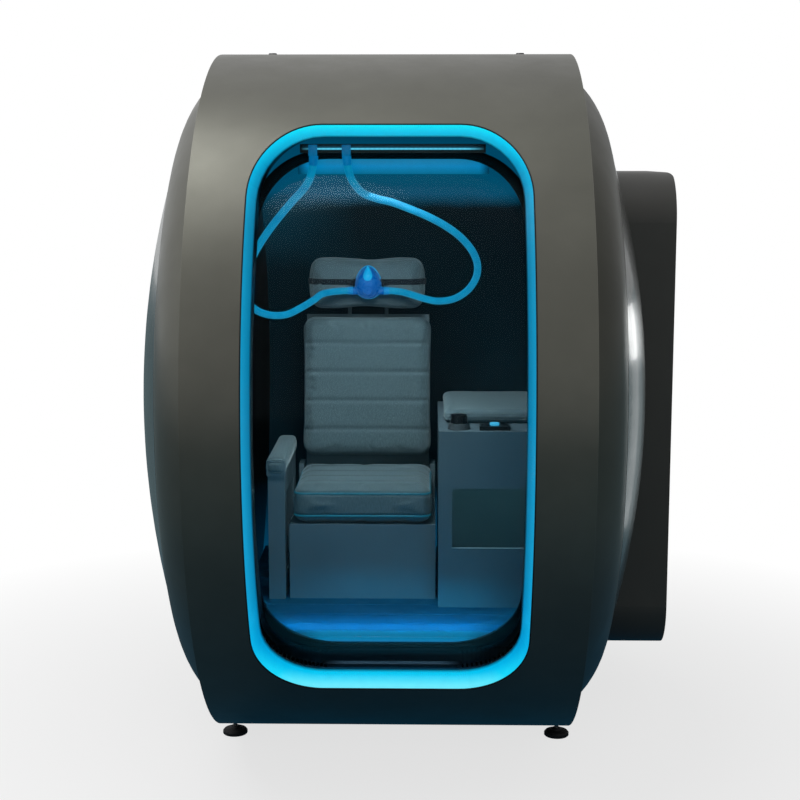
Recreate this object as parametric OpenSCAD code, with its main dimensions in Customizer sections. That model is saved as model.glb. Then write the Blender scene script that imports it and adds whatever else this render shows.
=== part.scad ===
/* [Shell] */
// Outer radius of the wrap-round cowl
cowl_r = 1000; // [980:5:1100]
// Width of the cowl along the barrel axis
cowl_w = 1016; // [1010:1:1100]
// Thickness of the cowl and side casing skins
skin = 6; // [4:1:8]
// Depth of the flange turned in along the cowl's side edges
cowl_lip = 50; // [20:1:52]
// Clearance between the floor and the cowl's lowest point
ground_gap = 45; // [38:1:60]
// Radial step from the cowl down to the start of the side casing
casing_step = 60; // [52:1:68]
// Radial drop from the cowl to the crease between side casing and dome
crease_drop = 234; // [210:2:260]
// How far the crease stands out past the cowl edge
crease_out = 100; // [90:1:120]
// How far the dome's middle stands out past the crease
dome_rise = 127; // [110:1:160]
// Bulge of the side casing's rounded shoulder
shoulder_bulge = 20; // [10:1:30]
// Thickness of the side dome panel
dome_wall = 5; // [3:1:8]

/* [Vessel] */
// Radial room between the cowl's outside and the vessel's barrel
cowl_room = 75; // [70:1:80]
// Wall of the vessel barrel
vessel_wall = 10; // [8:1:12]
// Distance of the vessel's weld seams from the cowl's edges
vessel_inset = 34; // [32:1:40]
// Wall of the dished vessel heads
head_wall = 8; // [6:1:10]

/* [Doorway] */
// Width of the cowl on each side of the door reveal
side_band = 149; // [145:1:180]
// Upper edge of the reveal as a share of the cowl's radius
reveal_high = 0.786; // [0.75:0.002:0.80]
// Lower edge of the reveal as a share of the cowl's radius
reveal_low = 0.702; // [0.66:0.002:0.72]
// Corner radius of the reveal at the cowl
opening_r = 180; // [120:2:200]
// Inward taper of the reveal's upright sides
side_taper = 18; // [8:1:22]
// Inward taper of the reveal's top and bottom
end_taper = 32; // [16:1:36]
// Width of the light-guide ring's hidden foot
guide_foot = 12; // [8:1:16]
// Width of the welded door neck round the light guide
neck_w = 34; // [24:1:36]
// Step out from the reveal's inner sides to the liner's opening and the trim frame
liner_ease = 7; // [5:1:9]
// Step up from the reveal's inner lower edge to the liner's opening
liner_sill = 27; // [16:1:40]
// Step down from the reveal's inner upper edge to the liner's opening
liner_head = 57; // [50:1:70]

/* [Door] */
// Thickness of the curved acrylic pane
pane_t = 25; // [18:1:28]
// Overlap of the door frame past each side of the reveal
door_lap = 26; // [23:1:31]
// Angle of the door's lower edge below level
door_low_angle = 57; // [56:1:60]
// Angle of the door's upper edge above level
door_high_angle = 70; // [68:1:72]
// Diameter of the door rollers
roller_d = 40; // [34:1:42]
// Width of the door rollers
roller_w = 22; // [18:1:26]
// Diameter of the roller axle pins
axle_d = 12; // [8:1:16]
// Angle of the upper roller pair above level
roller_high_angle = 64; // [55:1:66]
// Angle of the lower roller pair below level
roller_low_angle = 50; // [40:1:52]

/* [Cabin] */
// Radial depth of the door pocket between vessel and cabin liner
door_pocket = 113; // [109:1:117]
// Wall of the cabin liner
liner_wall = 6; // [4:1:8]
// Height of the cabin floor above the liner's lowest point
floor_rise = 192; // [176:2:212]
// Thickness of the cabin floor board
floor_t = 18; // [15:1:24]
// Width of the oxygen manifold bar
manifold_w = 500; // [460:2:560]
// Outer diameter of the breathing hoses
hose_d = 22; // [18:1:24]

/* [Seat] */
// Seat centre to the left of the barrel's middle
seat_shift = 100; // [90:1:110]
// Width of the seat cushion
seat_w = 440; // [420:2:450]
// Depth of the seat cushion
seat_depth = 400; // [380:2:410]
// Thickness of the seat cushion
seat_t = 120; // [90:1:130]
// Height of the seat cushion's top above the cabin floor
seat_h = 350; // [330:2:380]
// Height of the backrest cushion
back_h = 470; // [430:2:480]
// Thickness of the backrest cushion
back_t = 100; // [80:1:105]
// Lean of the backrest
lean = 8; // [5:1:10]
// Width of the headrest
headrest_w = 380; // [340:2:400]
// Height of the headrest
headrest_h = 174; // [150:1:180]
// Width of the armrest on the free side
arm_w = 60; // [50:1:64]
// Height of the console top above the cabin floor
console_h = 570; // [540:2:590]

/* [Cabinet] */
// How far the cabinet's outer side stands out past the dome
cabinet_room = 108; // [96:1:130]
// Drop from the cowl's highest point to the cabinet's top
cabinet_drop = 344; // [330:2:380]
// Height of the cabinet's underside above the cowl's lowest point
cabinet_lift = 164; // [156:2:200]
// Depth of the cabinet from its front to its back
cabinet_d = 580; // [560:2:600]
// Corner radius of the cabinet's front edges
cabinet_r = 150; // [100:2:170]
// Sheet thickness of the cabinet
cabinet_wall = 4; // [3:1:6]

/* [Feet] */
// Diameter of the levelling foot pads
pad_d = 75; // [60:1:80]
// Thickness of the levelling foot pads
pad_t = 24; // [20:1:30]
// Diameter of the threaded foot studs
stud_d = 12; // [10:1:16]
// Depth of the front feet in front of the axis
foot_front = 140; // [120:2:160]
// Depth of the rear feet behind the axis
foot_rear = 450; // [420:2:470]

/* [Hidden] */
$fn = 128;
// Finer steps for pieces that the doorway cuts at a slant
fine = 256;

// Clearances: panels, running fits, faces of pieces that move past each other, through holes
panel_gap = 2;
pin_gap = 0.05;
slide_gap = 0.3;
hole_gap = 1;
// Overreach of a cutter past the faces that it cuts
over = 2;

// Frame: the barrel axis runs along X, the door faces -Y, and Z is up
half_w = cowl_w / 2;
axis_h = cowl_r + ground_gap;
dome_out = half_w + crease_out + dome_rise;
cabinet_out = dome_out + cabinet_room;
latch_head = 4;
barrel_x = -(cabinet_out + slide_gap + latch_head - dome_out) / 2;

// Radial build-up
casing_r = cowl_r - casing_step;
crease_r = cowl_r - crease_drop;
vessel_r = cowl_r - cowl_room;
liner_r = vessel_r - door_pocket;
cowl_in = cowl_r - skin;
vessel_in = vessel_r - vessel_wall;
gasket_t = 9.7;
gasket_in = vessel_in - gasket_t;
pane_out = gasket_in - slide_gap;
pane_in = pane_out - pane_t;
frame_in = pane_in - 8;
jamb_out = frame_in - 3;
track_mid = (pane_out + pane_in) / 2 - 4.5;
track_clear = 0.2;
liner_in = liner_r - liner_wall;

// Widths along the axis, measured from the middle of the barrel
opening_w = cowl_w - 2 * side_band;
door_w = opening_w + 2 * door_lap;
vessel_half = half_w - vessel_inset;
lip_t = 3;
hoop_out = half_w - lip_t - 1;
hoop_w = 24;
hoop_wall = 4;
liner_half = vessel_half - 6;
track_t = 4;
roller_x = door_w / 2 + 38;
track_out = roller_x + roller_w / 2 + 14;
track_in = roller_x - roller_w / 2 - 8;

// Cowl split, in degrees above the level line at the front
cowl_low_angle = -135;
cowl_high_angle = 120;
seam_angle = 0.1;

// Point at an angle above the level line at the front, on a circle round the axis
function polar(r, a) = [-r * cos(a), r * sin(a)];

// Cylinder and ring along the barrel axis
module drum(r, x0, x1) { rotate([0, 90, 0]) translate([0, 0, x0]) cylinder(r = r, h = x1 - x0); }
module band(r_in, r_out, x0, x1) {
  difference() {
    drum(r_out, x0, x1);
    drum(r_in, x0 - over, x1 + over);
  }
}
// Revolves a profile drawn as [radius, x] from one angle to another
module arc_band(a0, a1) {
  rotate([0, 90, 0]) rotate([0, 0, 270 - a1]) rotate_extrude(angle = a1 - a0) children();
}
module full_band() { rotate([0, 90, 0]) rotate_extrude() children(); }
module ring_profile(r_in, r_out, x0, x1) { translate([r_in, x0]) square([r_out - r_in, x1 - x0]); }
module place() { translate([barrel_x, 0, axis_h]) children(); }
module mirrored(side) { mirror([side < 0 ? 1 : 0, 0, 0]) children(); }
module color_metal() { color([0.34, 0.33, 0.31]) children(); }
module color_black() { color([0.04, 0.04, 0.05]) children(); }
module color_steel() { color([0.62, 0.64, 0.66]) children(); }
module color_fabric() { color([0.20, 0.27, 0.34]) children(); }

// Doorway outlines: [half width, low, high, corner radius]
reveal_out = [opening_w / 2, -cowl_r * reveal_low, cowl_r * reveal_high, opening_r];
reveal_in = [
  reveal_out[0] - side_taper, reveal_out[1] + end_taper, reveal_out[2] - end_taper,
  opening_r - side_taper
];
liner_open = [
  reveal_in[0] + liner_ease, reveal_in[1] + liner_sill, reveal_in[2] - liner_head,
  reveal_in[3] - liner_ease
];
opening_mid = (reveal_out[1] + reveal_out[2]) / 2;
function grown(o, d) = [o[0] + d, o[1] - d, o[2] + d, o[3] + d];

module rounded(o) {
  translate([-o[0] + o[3], o[1]]) square([2 * (o[0] - o[3]), o[2] - o[1]]);
  translate([-o[0], o[1] + o[3]]) square([2 * o[0], o[2] - o[1] - 2 * o[3]]);
  for (x = [-1, 1], z = [o[1] + o[3], o[2] - o[3]]) translate([x * (o[0] - o[3]), z]) circle(o[3]);
}
// Straight bar with the outline of a doorway, from the front of the cowl to the barrel's middle
module doorway(o, depth = 0) {
  rotate([90, 0, 0]) linear_extrude(cowl_r + over * 4 + depth) rounded(o);
}
// Frame between two doorway outlines, on the barrel between two radii
module doorway_frame(o_in, o_out, r_in, r_out) {
  intersection() {
    band(r_in, r_out, -half_w, half_w);
    difference() {
      doorway(o_out);
      translate([0, over, 0]) doorway(o_in, over);
    }
  }
}

// Closed skin through a list of rings with the same number of points
module skinned(rings, looped = false) {
  n = len(rings[0]);
  m = len(rings);
  last = looped ? m - 1 : m - 2;
  walls = [for (k = [0:last], i = [0:n - 1])
    let (a = k * n, b = ((k + 1) % m) * n, j = (i + 1) % n)
      each [[a + i, b + i, b + j], [a + i, b + j, a + j]]];
  caps = looped ? [] : [for (i = [1:n - 2])
    each [[0, i, i + 1], [(m - 1) * n, (m - 1) * n + i + 1, (m - 1) * n + i]]];
  polyhedron(points = [for (ring = rings) each ring], faces = concat(walls, caps), convexity = 8);
}

// Crowned cushion lying flat, with sides drawn in between its corners
cushion_points = 40;
cushion_rings = 12;
function cushion_plan(a, w, d, pull) =
  let (c = cos(a), s = sin(a), q = 1 - pull * pow(cos(2 * a), 2))
    [w / 2 * q * sign(c) * pow(abs(c), 0.4), d / 2 * q * sign(s) * pow(abs(s), 0.4)];
function cushion_skin(w, d, t, pull) = [for (k = [0:cushion_rings])
  let (u = -88 + 176 * k / cushion_rings, f = pow(cos(u), 0.45), z = t / 2 * sin(u))
    [for (i = [0:cushion_points - 1])
      let (p = cushion_plan(360 * i / cushion_points, w * f, d * f, pull)) [p[0], p[1], z]]];
module cushion(w, d, t, pull = 0.02) { skinned(cushion_skin(w, d, t, pull)); }

// Tube swept along a route's own points
function unit(v) = v / norm(v);
function heading(p, i) =
  unit(unit(p[min(i + 1, len(p) - 1)] - p[min(i, len(p) - 2)])
    + unit(p[max(i, 1)] - p[max(i - 1, 0)]));
function ring_at(p, t, r, sides) =
  let (u = unit(cross([0, 1, 0], t)), v = cross(t, u))
    [for (i = [0:sides - 1]) p + r * (cos(360 * i / sides) * u + sin(360 * i / sides) * v)];
module hose(p, r, sides = 10) {
  skinned([for (i = [0:len(p) - 1]) ring_at(p[i], heading(p, i), r, sides)]);
}

// Domed end profiles: a bulged shoulder from one corner to another, and a dish up to the axis
function bulge_radius(p, q, b) = (pow(norm(q - p), 2) / 4 + b * b) / (2 * b);
function bulge_centre(p, q, b) =
  let (d = unit(q - p), n = [d[1], -d[0]]) (p + q) / 2 - n * (bulge_radius(p, q, b) - b);
module shoulder_profile(p, q, b, wall) {
  c = bulge_centre(p, q, b);
  r = bulge_radius(p, q, b);
  reach = 2 * r;
  intersection() {
    translate(c) difference() {
      circle(r);
      circle(r - wall);
    }
    polygon([c, c + (p - c) / norm(p - c) * reach, c + (q - c) / norm(q - c) * reach]);
  }
}
function dish_radius(rim, rise) = (rim * rim + rise * rise) / (2 * rise);
function dish_x(r, rim, rise, apex) =
  apex - dish_radius(rim, rise) + sqrt(pow(dish_radius(rim, rise), 2) - r * r);
module dish_profile(rim, rise, apex, wall) {
  r = dish_radius(rim, rise);
  intersection() {
    translate([0, apex - r]) difference() {
      circle(r);
      circle(r - wall);
    }
    translate([0, apex - rise - wall]) square([rim, rise + wall + over]);
  }
}
module dish_solid(rim, rise, apex, grow) {
  rotate([0, 90, 0]) rotate_extrude() intersection() {
    translate([0, apex - dish_radius(rim, rise)]) circle(dish_radius(rim, rise) + grow);
    translate([0, 0]) square([rim, apex + grow + over]);
  }
}

// Side casing corners as [radius, x]
casing_start = [casing_r, half_w - lip_t];
crease = [crease_r, half_w + crease_out];
crease_x = crease[1];
casing_wall = 5;
seat_flange = 32;
dome_rim = crease_r - panel_gap;
head_start = [vessel_r, vessel_half];
head_crease = [crease_r - 22, crease_x - 36];
head_bulge = 8;
head_rise = 96;
head_apex = head_crease[1] + head_rise;

// Service duct through head, casing dome and cabinet
duct_y = 200;
duct_z = 200;
duct_r = 30;
duct_wall = 4;
duct_end = dome_out + 25;
module duct_hole(r) {
  translate([half_w, duct_y, duct_z]) rotate([0, 90, 0]) cylinder(r = r, h = cabinet_out);
}

module vessel_barrel() {
  color_steel() place() difference() {
    band(vessel_in, vessel_r, -vessel_half, vessel_half);
    doorway(grown(reveal_in, 2));
  }
}
module vessel_head(side) {
  color_steel() place() mirrored(side) difference() {
    full_band() {
      intersection() {
        shoulder_profile(head_start, head_crease, head_bulge, head_wall);
        translate([0, vessel_half]) square([vessel_r, head_apex]);
      }
      dish_profile(head_crease[0], head_rise, head_apex, head_wall);
    }
    if (side > 0) duct_hole(duct_r + hole_gap);
  }
}
neck_pitch = 150;
neck_hole_r = 5;
module door_neck() {
  foot = grown(reveal_out, guide_foot + slide_gap);
  color_steel() place() difference() {
    doorway_frame(foot, grown(foot, neck_w), vessel_r, cowl_in - 5);
    for (z = [-3:3], x = [-1, 1])
      translate([x * (foot[0] + neck_w / 2), 0, opening_mid + z * neck_pitch]) rotate([90, 0, 0])
        cylinder(r = neck_hole_r, h = cowl_r);
  }
}

// Light guide: four loops on the barrel, the inner two tapering into the doorway
guide_gap = 2.2;
guide_side_steps = 30;
guide_corner_steps = 9;
guide_end_steps = 4;
function line_steps(p, q, n) = [for (i = [0:n - 1]) p + (q - p) * i / n];
function arc_steps(x, z, r, a) = [for (i = [0:guide_corner_steps - 1])
  let (b = a + 90 * i / guide_corner_steps) [x + r * cos(b), z + r * sin(b)]];
function doorway_loop(o) =
  let (x = o[0] - o[3], low = o[1] + o[3], high = o[2] - o[3])
    concat(
      line_steps([o[0], low], [o[0], high], guide_side_steps), arc_steps(x, high, o[3], 0),
      line_steps([x, o[2]], [-x, o[2]], guide_end_steps), arc_steps(-x, high, o[3], 90),
      line_steps([-o[0], high], [-o[0], low], guide_side_steps), arc_steps(-x, low, o[3], 180),
      line_steps([-x, o[1]], [x, o[1]], guide_end_steps), arc_steps(x, low, o[3], 270)
    );
function on_drum(loop, r) = [for (p = loop) [p[0], -sqrt(r * r - p[1] * p[1]), p[1]]];
module glow_ring() {
  foot = doorway_loop(grown(reveal_out, guide_foot));
  color([0.25, 0.85, 1]) place() skinned([
    on_drum(foot, cowl_in - slide_gap), on_drum(doorway_loop(reveal_out), cowl_in - slide_gap),
    on_drum(doorway_loop(reveal_in), vessel_r + guide_gap), on_drum(foot, vessel_r + guide_gap)
  ], looped = true);
}
module door_gasket() {
  $fn = fine;
  color_black() place()
    doorway_frame(grown(reveal_in, 8), grown(reveal_in, 32), gasket_in, vessel_in);
}

// Hoop rings that carry the cowl and the feet
tie_size = 40;
lug_r = 20;
foot_x = hoop_out - hoop_w / 2;
lug_low = -(cowl_r - 15);
function stud_top(y) = -sqrt(vessel_r * vessel_r - y * y) - 30;
module hoop(side) {
  channel = [[vessel_r, hoop_out - hoop_w], [vessel_r, hoop_out], [cowl_in, hoop_out],
    [cowl_in, hoop_out - hoop_w], [cowl_in - hoop_wall, hoop_out - hoop_w],
    [cowl_in - hoop_wall, hoop_out - hoop_wall], [vessel_r + hoop_wall, hoop_out - hoop_wall],
    [vessel_r + hoop_wall, hoop_out - hoop_w]];
  light_hole = 17;
  hole_count = 36;
  color_steel() place() mirrored(side) difference() {
    union() {
      full_band() polygon(channel);
      for (y = [-foot_front, foot_rear]) difference() {
        translate([foot_x, y, lug_low]) cylinder(r = lug_r, h = cowl_r - vessel_r * 0.8);
        drum(vessel_r, 0, half_w);
        drum(cowl_r * 0.99, hoop_out, half_w + lug_r);
      }
    }
    for (i = [0:hole_count - 1]) rotate([(i + 0.5) * 360 / hole_count, 0, 0])
      translate([hoop_out - hoop_wall - over, 0, (vessel_r + cowl_in) / 2]) rotate([0, 90, 0])
        cylinder(r = light_hole, h = hoop_wall + 2 * over);
    for (y = [-foot_front, foot_rear]) translate([foot_x, y, lug_low - over])
      cylinder(r = stud_d / 2 + pin_gap, h = stud_top(y) - lug_low + 2 * over);
  }
}
module cradle_ties() {
  reach = hoop_out - hoop_wall;
  mid = (vessel_r + cowl_in) / 2;
  off_lug = 6;
  color_steel() place() for (a = [-asin(foot_front / mid) - off_lug, asin(foot_rear / mid) + off_lug])
    rotate([a, 0, 0])
    difference() {
      translate([-reach, -tie_size / 2, -mid - tie_size / 2]) cube([2 * reach, tie_size, tie_size]);
      translate([-reach - over, -tie_size / 2 + 4, -mid - tie_size / 2 + 4])
        cube([2 * (reach + over), tie_size - 8, tie_size - 8]);
    }
}
stud_socket = 14;
nut_h = 10;
module foot_studs() {
  foot_z = -axis_h + stud_socket;
  color_steel() place() for (x = [-foot_x, foot_x], y = [-foot_front, foot_rear]) translate([x, y, 0]) {
    translate([0, 0, foot_z]) cylinder(d = stud_d, h = stud_top(y) - foot_z);
    translate([0, 0, lug_low - nut_h - 3]) cylinder(r = stud_d * 0.9, h = nut_h, $fn = 6);
  }
}
module foot_pads() {
  color_black() translate([barrel_x, 0, 0]) for (x = [-foot_x, foot_x], y = [-foot_front, foot_rear])
    translate([x, y, 0]) difference() {
      rotate_extrude() polygon([[0, 0], [pad_d / 2 - 2, 0], [pad_d / 2, 2], [pad_d / 2, pad_t * 0.4],
        [pad_d / 2 - 4, pad_t * 0.6], [stud_d + 4, pad_t * 0.75], [stud_d, pad_t], [0, pad_t]]);
      translate([0, 0, stud_socket]) cylinder(d = stud_d + 2 * pin_gap, h = pad_t);
    }
}
module cowl_profile() {
  ring_profile(cowl_in, cowl_r, -half_w, half_w);
  for (x = [-half_w, half_w - lip_t]) ring_profile(cowl_r - cowl_lip, cowl_r, x, x + lip_t);
}
plug_x = 365;
plug_r = 14;
module front_cowl() {
  color_metal() place() difference() {
    arc_band(cowl_low_angle + seam_angle, cowl_high_angle - seam_angle) cowl_profile();
    doorway(reveal_out);
    for (x = [-foot_x, foot_x], y = [-foot_front, foot_rear])
      translate([x, y, -cowl_r - over]) cylinder(r = lug_r + hole_gap, h = cowl_r * 0.3);
    for (x = [-plug_x, plug_x]) translate([x, 0, 0]) cylinder(r = plug_r - 4, h = cowl_r + over);
  }
}
louvres = 8;
louvre_w = 260;
louvre_h = 10;
louvre_first_angle = 8;
louvre_step_angle = 2.2;
module rear_cowl() {
  color_metal() place() difference() {
    arc_band(cowl_high_angle + seam_angle, 360 + cowl_low_angle - seam_angle) cowl_profile();
    for (i = [0:louvres - 1]) rotate([-louvre_first_angle - i * louvre_step_angle, 0, 0])
      translate([-louvre_w / 2, 0, -louvre_h / 2]) cube([louvre_w, cowl_r + over, louvre_h]);
  }
}
module side_casing(side) {
  color_metal() place() mirrored(side) full_band() {
    intersection() {
      shoulder_profile(casing_start, crease, shoulder_bulge, casing_wall);
      translate([0, half_w - lip_t]) square([casing_r, crease_x]);
    }
    ring_profile(casing_r - 20, casing_r - 1, half_w - lip_t - 1, half_w + 2);
    ring_profile(crease_r - seat_flange, crease_r, crease_x - 12, crease_x - 7);
    ring_profile(crease_r - 1, crease_r + 4, crease_x - 12, crease_x - 3);
  }
}
module side_dome(side) {
  rim_r = crease_r - casing_wall - panel_gap;
  color_metal() place() mirrored(side) difference() {
    full_band() {
      dish_profile(dome_rim, dome_rise, dome_out, dome_wall);
      ring_profile(rim_r - dome_wall, rim_r, crease_x - 7, crease_x + 2);
    }
    if (side > 0) duct_hole(duct_r + hole_gap);
  }
}
module lifting_plugs() {
  color_black() place() for (x = [-plug_x, plug_x]) translate([x, 0, vessel_r]) {
    cylinder(r = plug_r - 4 - hole_gap, h = cowl_r - vessel_r);
    translate([0, 0, cowl_r - vessel_r]) cylinder(r1 = plug_r, r2 = plug_r - 3, h = 5);
  }
}

module cabin_liner() {
  color([0.05, 0.09, 0.13]) place() difference() {
    union() {
      band(liner_in, liner_r, -liner_half, liner_half);
      for (s = [-1, 1]) mirrored(s)
        band(liner_in, vessel_in, liner_half - liner_wall, liner_half);
    }
    doorway(liner_open);
  }
}
module jamb_ring() {
  $fn = fine;
  color_black() place()
    doorway_frame(grown(reveal_in, liner_ease), grown(reveal_in, 36), liner_r, jamb_out);
}
track_low_angle = -62;
track_high_angle = 188;
track_rise = roller_d / 2 + track_clear;
floor_drop = liner_r - floor_rise;
module door_track(side) {
  color_steel() place() mirrored(side) arc_band(track_low_angle, track_high_angle) {
    ring_profile(liner_r, vessel_in - hole_gap, track_out, track_out + track_t);
    ring_profile(track_mid - track_rise - track_t, track_mid - track_rise, track_in, track_out);
    ring_profile(track_mid + track_rise, track_mid + track_rise + track_t, track_in, track_out);
  }
}
module cabin_floor() {
  grooves = 9;
  half = sqrt(liner_in * liner_in - pow(floor_drop + floor_t, 2));
  pitch = 2 * half / (grooves + 1);
  color([0.10, 0.12, 0.14]) place() difference() {
    intersection() {
      translate([-liner_half + liner_wall, -liner_in, -floor_drop - floor_t])
        cube([2 * (liner_half - liner_wall), 2 * liner_in, floor_t]);
      drum(liner_in, -liner_half, liner_half);
    }
    for (i = [1:grooves]) translate([-liner_half, -half + i * pitch, -floor_drop - 1.5])
      cube([2 * liner_half, 3, over + 1.5]);
  }
}

// Seat frame: its middle, its cushion's top and the line on which the backrest leans
seat_x = -seat_shift;
floor_z = -floor_drop;
seat_top = floor_z + seat_h;
seat_back_y = 250;
seat_front_y = seat_back_y - seat_depth;
pivot_y = 300;
pivot_z = floor_z + 310;
back_low = 40;
headrest_low = back_low + back_h + 10;
headrest_out = 126;
headrest_mid = headrest_low + headrest_h / 2;

// Mask middle and rim, from the middle of the leaning headrest's front
mask_x = seat_x + 6;
mask_z = pivot_z + headrest_mid * cos(lean) + headrest_out * sin(lean);
mask_rim_y = pivot_y + headrest_mid * sin(lean) - headrest_out * cos(lean) - 15;
port_y = mask_rim_y - 23;
port_z = mask_z - 25;
port_reach = 47;

// Oxygen manifold: a bar seated on the liner above its opening, with two hose outlets
bar_h = 24;
bar_top = liner_open[2] + bar_h + 16;
bar_reach = 36.5;
bar_front = sqrt(pow(liner_r + bar_reach, 2) - pow(bar_top - bar_h, 2));
bar_back = bar_front - 115;
light_t = 4;
light_inset = 5;
collar_h = 8;
collar_y = 20 - bar_front;
outlet_z = bar_top - bar_h - collar_h;
outlet_left = -215;
outlet_right = -125;
module oxygen_manifold() {
  color_black() place() difference() {
    translate([-manifold_w / 2, -bar_front, bar_top - bar_h])
      cube([manifold_w, bar_front - bar_back, bar_h]);
    drum(liner_r, -half_w, half_w);
  }
}
module light_bar() {
  color([0.55, 0.95, 1]) place()
    translate([-manifold_w / 2 + light_inset, -bar_front - light_t, bar_top - bar_h * 2 / 3])
      cube([manifold_w - 2 * light_inset, light_t, bar_h / 2]);
}
module hose_collars() {
  color_black() place() for (x = [outlet_left, outlet_right])
    translate([x, collar_y, outlet_z]) cylinder(d = hose_d + 4, h = collar_h);
}

// Hose routes, straight down out of the collars and level into the mask's ports
left_drape = [
  [-215, -440, 705], [-215, -440, 697], [-219.8, -436.2, 665], [-230.3, -425.5, 636.6],
  [-249.5, -406.5, 610.9], [-278, -376, 583], [-312, -348, 546], [-344, -322, 508], [-374, -296, 468],
  [-400, -268, 427], [-421, -234, 380], [-433, -192, 330], [-432, -148, 285], [-413, -102, 253],
  [-377, -54, 234], [-334, 2, 230], [-294, 62, 245], [-258, 120, 264], [-238.5, 170.2, 276.6],
  [-209.8, 201.4, 281.4], [-180.2, 216.6, 283.4], [-151, 222, 284], [-141, 222, 284]
];
right_drape = [
  [-125, -440, 705], [-125, -440, 697], [-120.7, -436.1, 665.3], [-109.2, -425.5, 635.6],
  [-85.5, -403.5, 606.4], [-48.4, -368, 589.6], [-6, -330, 578], [42, -292, 559], [94, -255, 536],
  [146, -218, 507], [190, -180, 473], [224, -142, 432], [241, -98, 389], [238, -50, 345], [214, 6, 303],
  [174, 62, 273], [126, 108, 262], [84, 148, 266], [47.6, 183.5, 274.1], [12.3, 210.3, 281.2],
  [-18.8, 220.3, 283.8], [-34, 222, 284], [-44, 222, 284]
];
// A drape's points, shifted so that its ends meet an outlet and a port
function hung(drape, outlet, port) =
  let (n = len(drape) - 1)
    [for (i = [0:n]) drape[i] + (1 - i / n) * (outlet - drape[0]) + i / n * (port - drape[n])];
left_route = hung(left_drape, [outlet_left, collar_y, outlet_z], [mask_x - port_reach, port_y, port_z]);
right_route =
  hung(right_drape, [outlet_right, collar_y, outlet_z], [mask_x + port_reach + 3, port_y, port_z]);
module hose_left() { color([0.25, 0.65, 0.85]) place() hose(left_route, hose_d / 2); }
module hose_right() { color([0.25, 0.65, 0.85]) place() hose(right_route, hose_d / 2); }

plinth_inset = 20;
module seat_base() {
  wall = 15;
  color_fabric() place() difference() {
    union() {
      translate([seat_x - seat_w / 2, seat_front_y + plinth_inset, floor_z])
        cube([seat_w, seat_depth - plinth_inset, seat_h - seat_t]);
      for (s = [-1, 1])
        translate([seat_x + s * (seat_w / 2 - wall / 2) - wall / 2, seat_back_y, floor_z])
          cube([wall, pivot_y - seat_back_y + 30, seat_h - 10]);
    }
    translate([seat_x - seat_w / 2 + wall, seat_front_y + plinth_inset + wall, floor_z - over])
      cube([seat_w - 2 * wall, seat_depth, seat_h - seat_t - wall + over]);
    pivot_line(pivot_r + pin_gap);
    translate([seat_x - seat_w / 2 - over, lever_y, lever_z]) rotate([0, 90, 0])
      cylinder(r = lever_pin_r + pin_gap, h = wall + 2 * over);
  }
}
module seat_cushion() {
  color_fabric() place()
    translate([seat_x, seat_front_y + seat_depth / 2 - 5, seat_top - seat_t / 2 + slide_gap])
      cushion(seat_w - 2, seat_depth - 10, seat_t, 0.012);
}
arm_x = seat_x - seat_w / 2 - panel_gap - arm_w;
arm_h = 430;
module armrest() {
  pad = 50;
  color_fabric() place() translate([arm_x, seat_front_y + 10, floor_z]) {
    difference() {
      cube([arm_w - 10, seat_depth - 10, arm_h - pad]);
      translate([-over, 60, 60]) cube([arm_w + over, seat_depth - 130, arm_h - pad - 120]);
    }
    translate([arm_w / 2 - 5, seat_depth / 2 - 5, arm_h - pad]) rotate([90, 0, 0])
      translate([0, 0, -seat_depth / 2]) linear_extrude(seat_depth) intersection() {
        translate([-arm_w / 2 + 2, 0]) square([arm_w - 6, pad]);
        translate([-1, -arm_w * 0.6]) circle(arm_w * 0.6 + pad);
      }
  }
}
console_x = seat_x + seat_w / 2 + panel_gap + 6;
console_w = liner_half - liner_wall - console_x - 4;
console_front = -220;
console_d = 570;
pad_rise = 40;
module side_console() {
  wall = 12;
  color([0.16, 0.20, 0.25]) place() difference() {
    translate([console_x, console_front, floor_z]) cube([console_w, console_d, console_h - pad_rise]);
    translate([console_x + wall, console_front + wall, floor_z - over])
      cube([console_w - 2 * wall, console_d - 2 * wall, console_h - pad_rise - wall + over]);
    translate([console_x + 40, console_front - over, floor_z + 180])
      cube([console_w - 80, wall + 2 * over, 180]);
    translate([knob_x, knob_y, floor_z]) cylinder(r = knob_stem_r + hole_gap, h = console_h);
  }
}
module console_pad() {
  color_fabric() place() translate([console_x + console_w / 2, console_front + console_d / 2 + 60,
      floor_z + console_h - pad_rise / 2 + slide_gap])
    cushion(console_w - 10, console_d - 140, pad_rise, 0.01);
}

// Ceiling diffuser: a slotted cup under the liner's crown
diffuser_r = 60;
diffuser_h = 22;
diffuser_y = 100;
module air_diffuser() {
  slots = 12;
  color_black() place() difference() {
    intersection() {
      translate([0, diffuser_y, liner_in - diffuser_h - 12])
        cylinder(r = diffuser_r, h = diffuser_h + 30);
      drum(liner_in, -half_w, half_w);
    }
    for (i = [0:slots - 1]) translate([0, diffuser_y, liner_in - diffuser_h - 12 - over])
      rotate([0, 0, i * 360 / slots]) translate([22, -3, 0]) cube([30, 6, 14]);
  }
}

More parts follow.
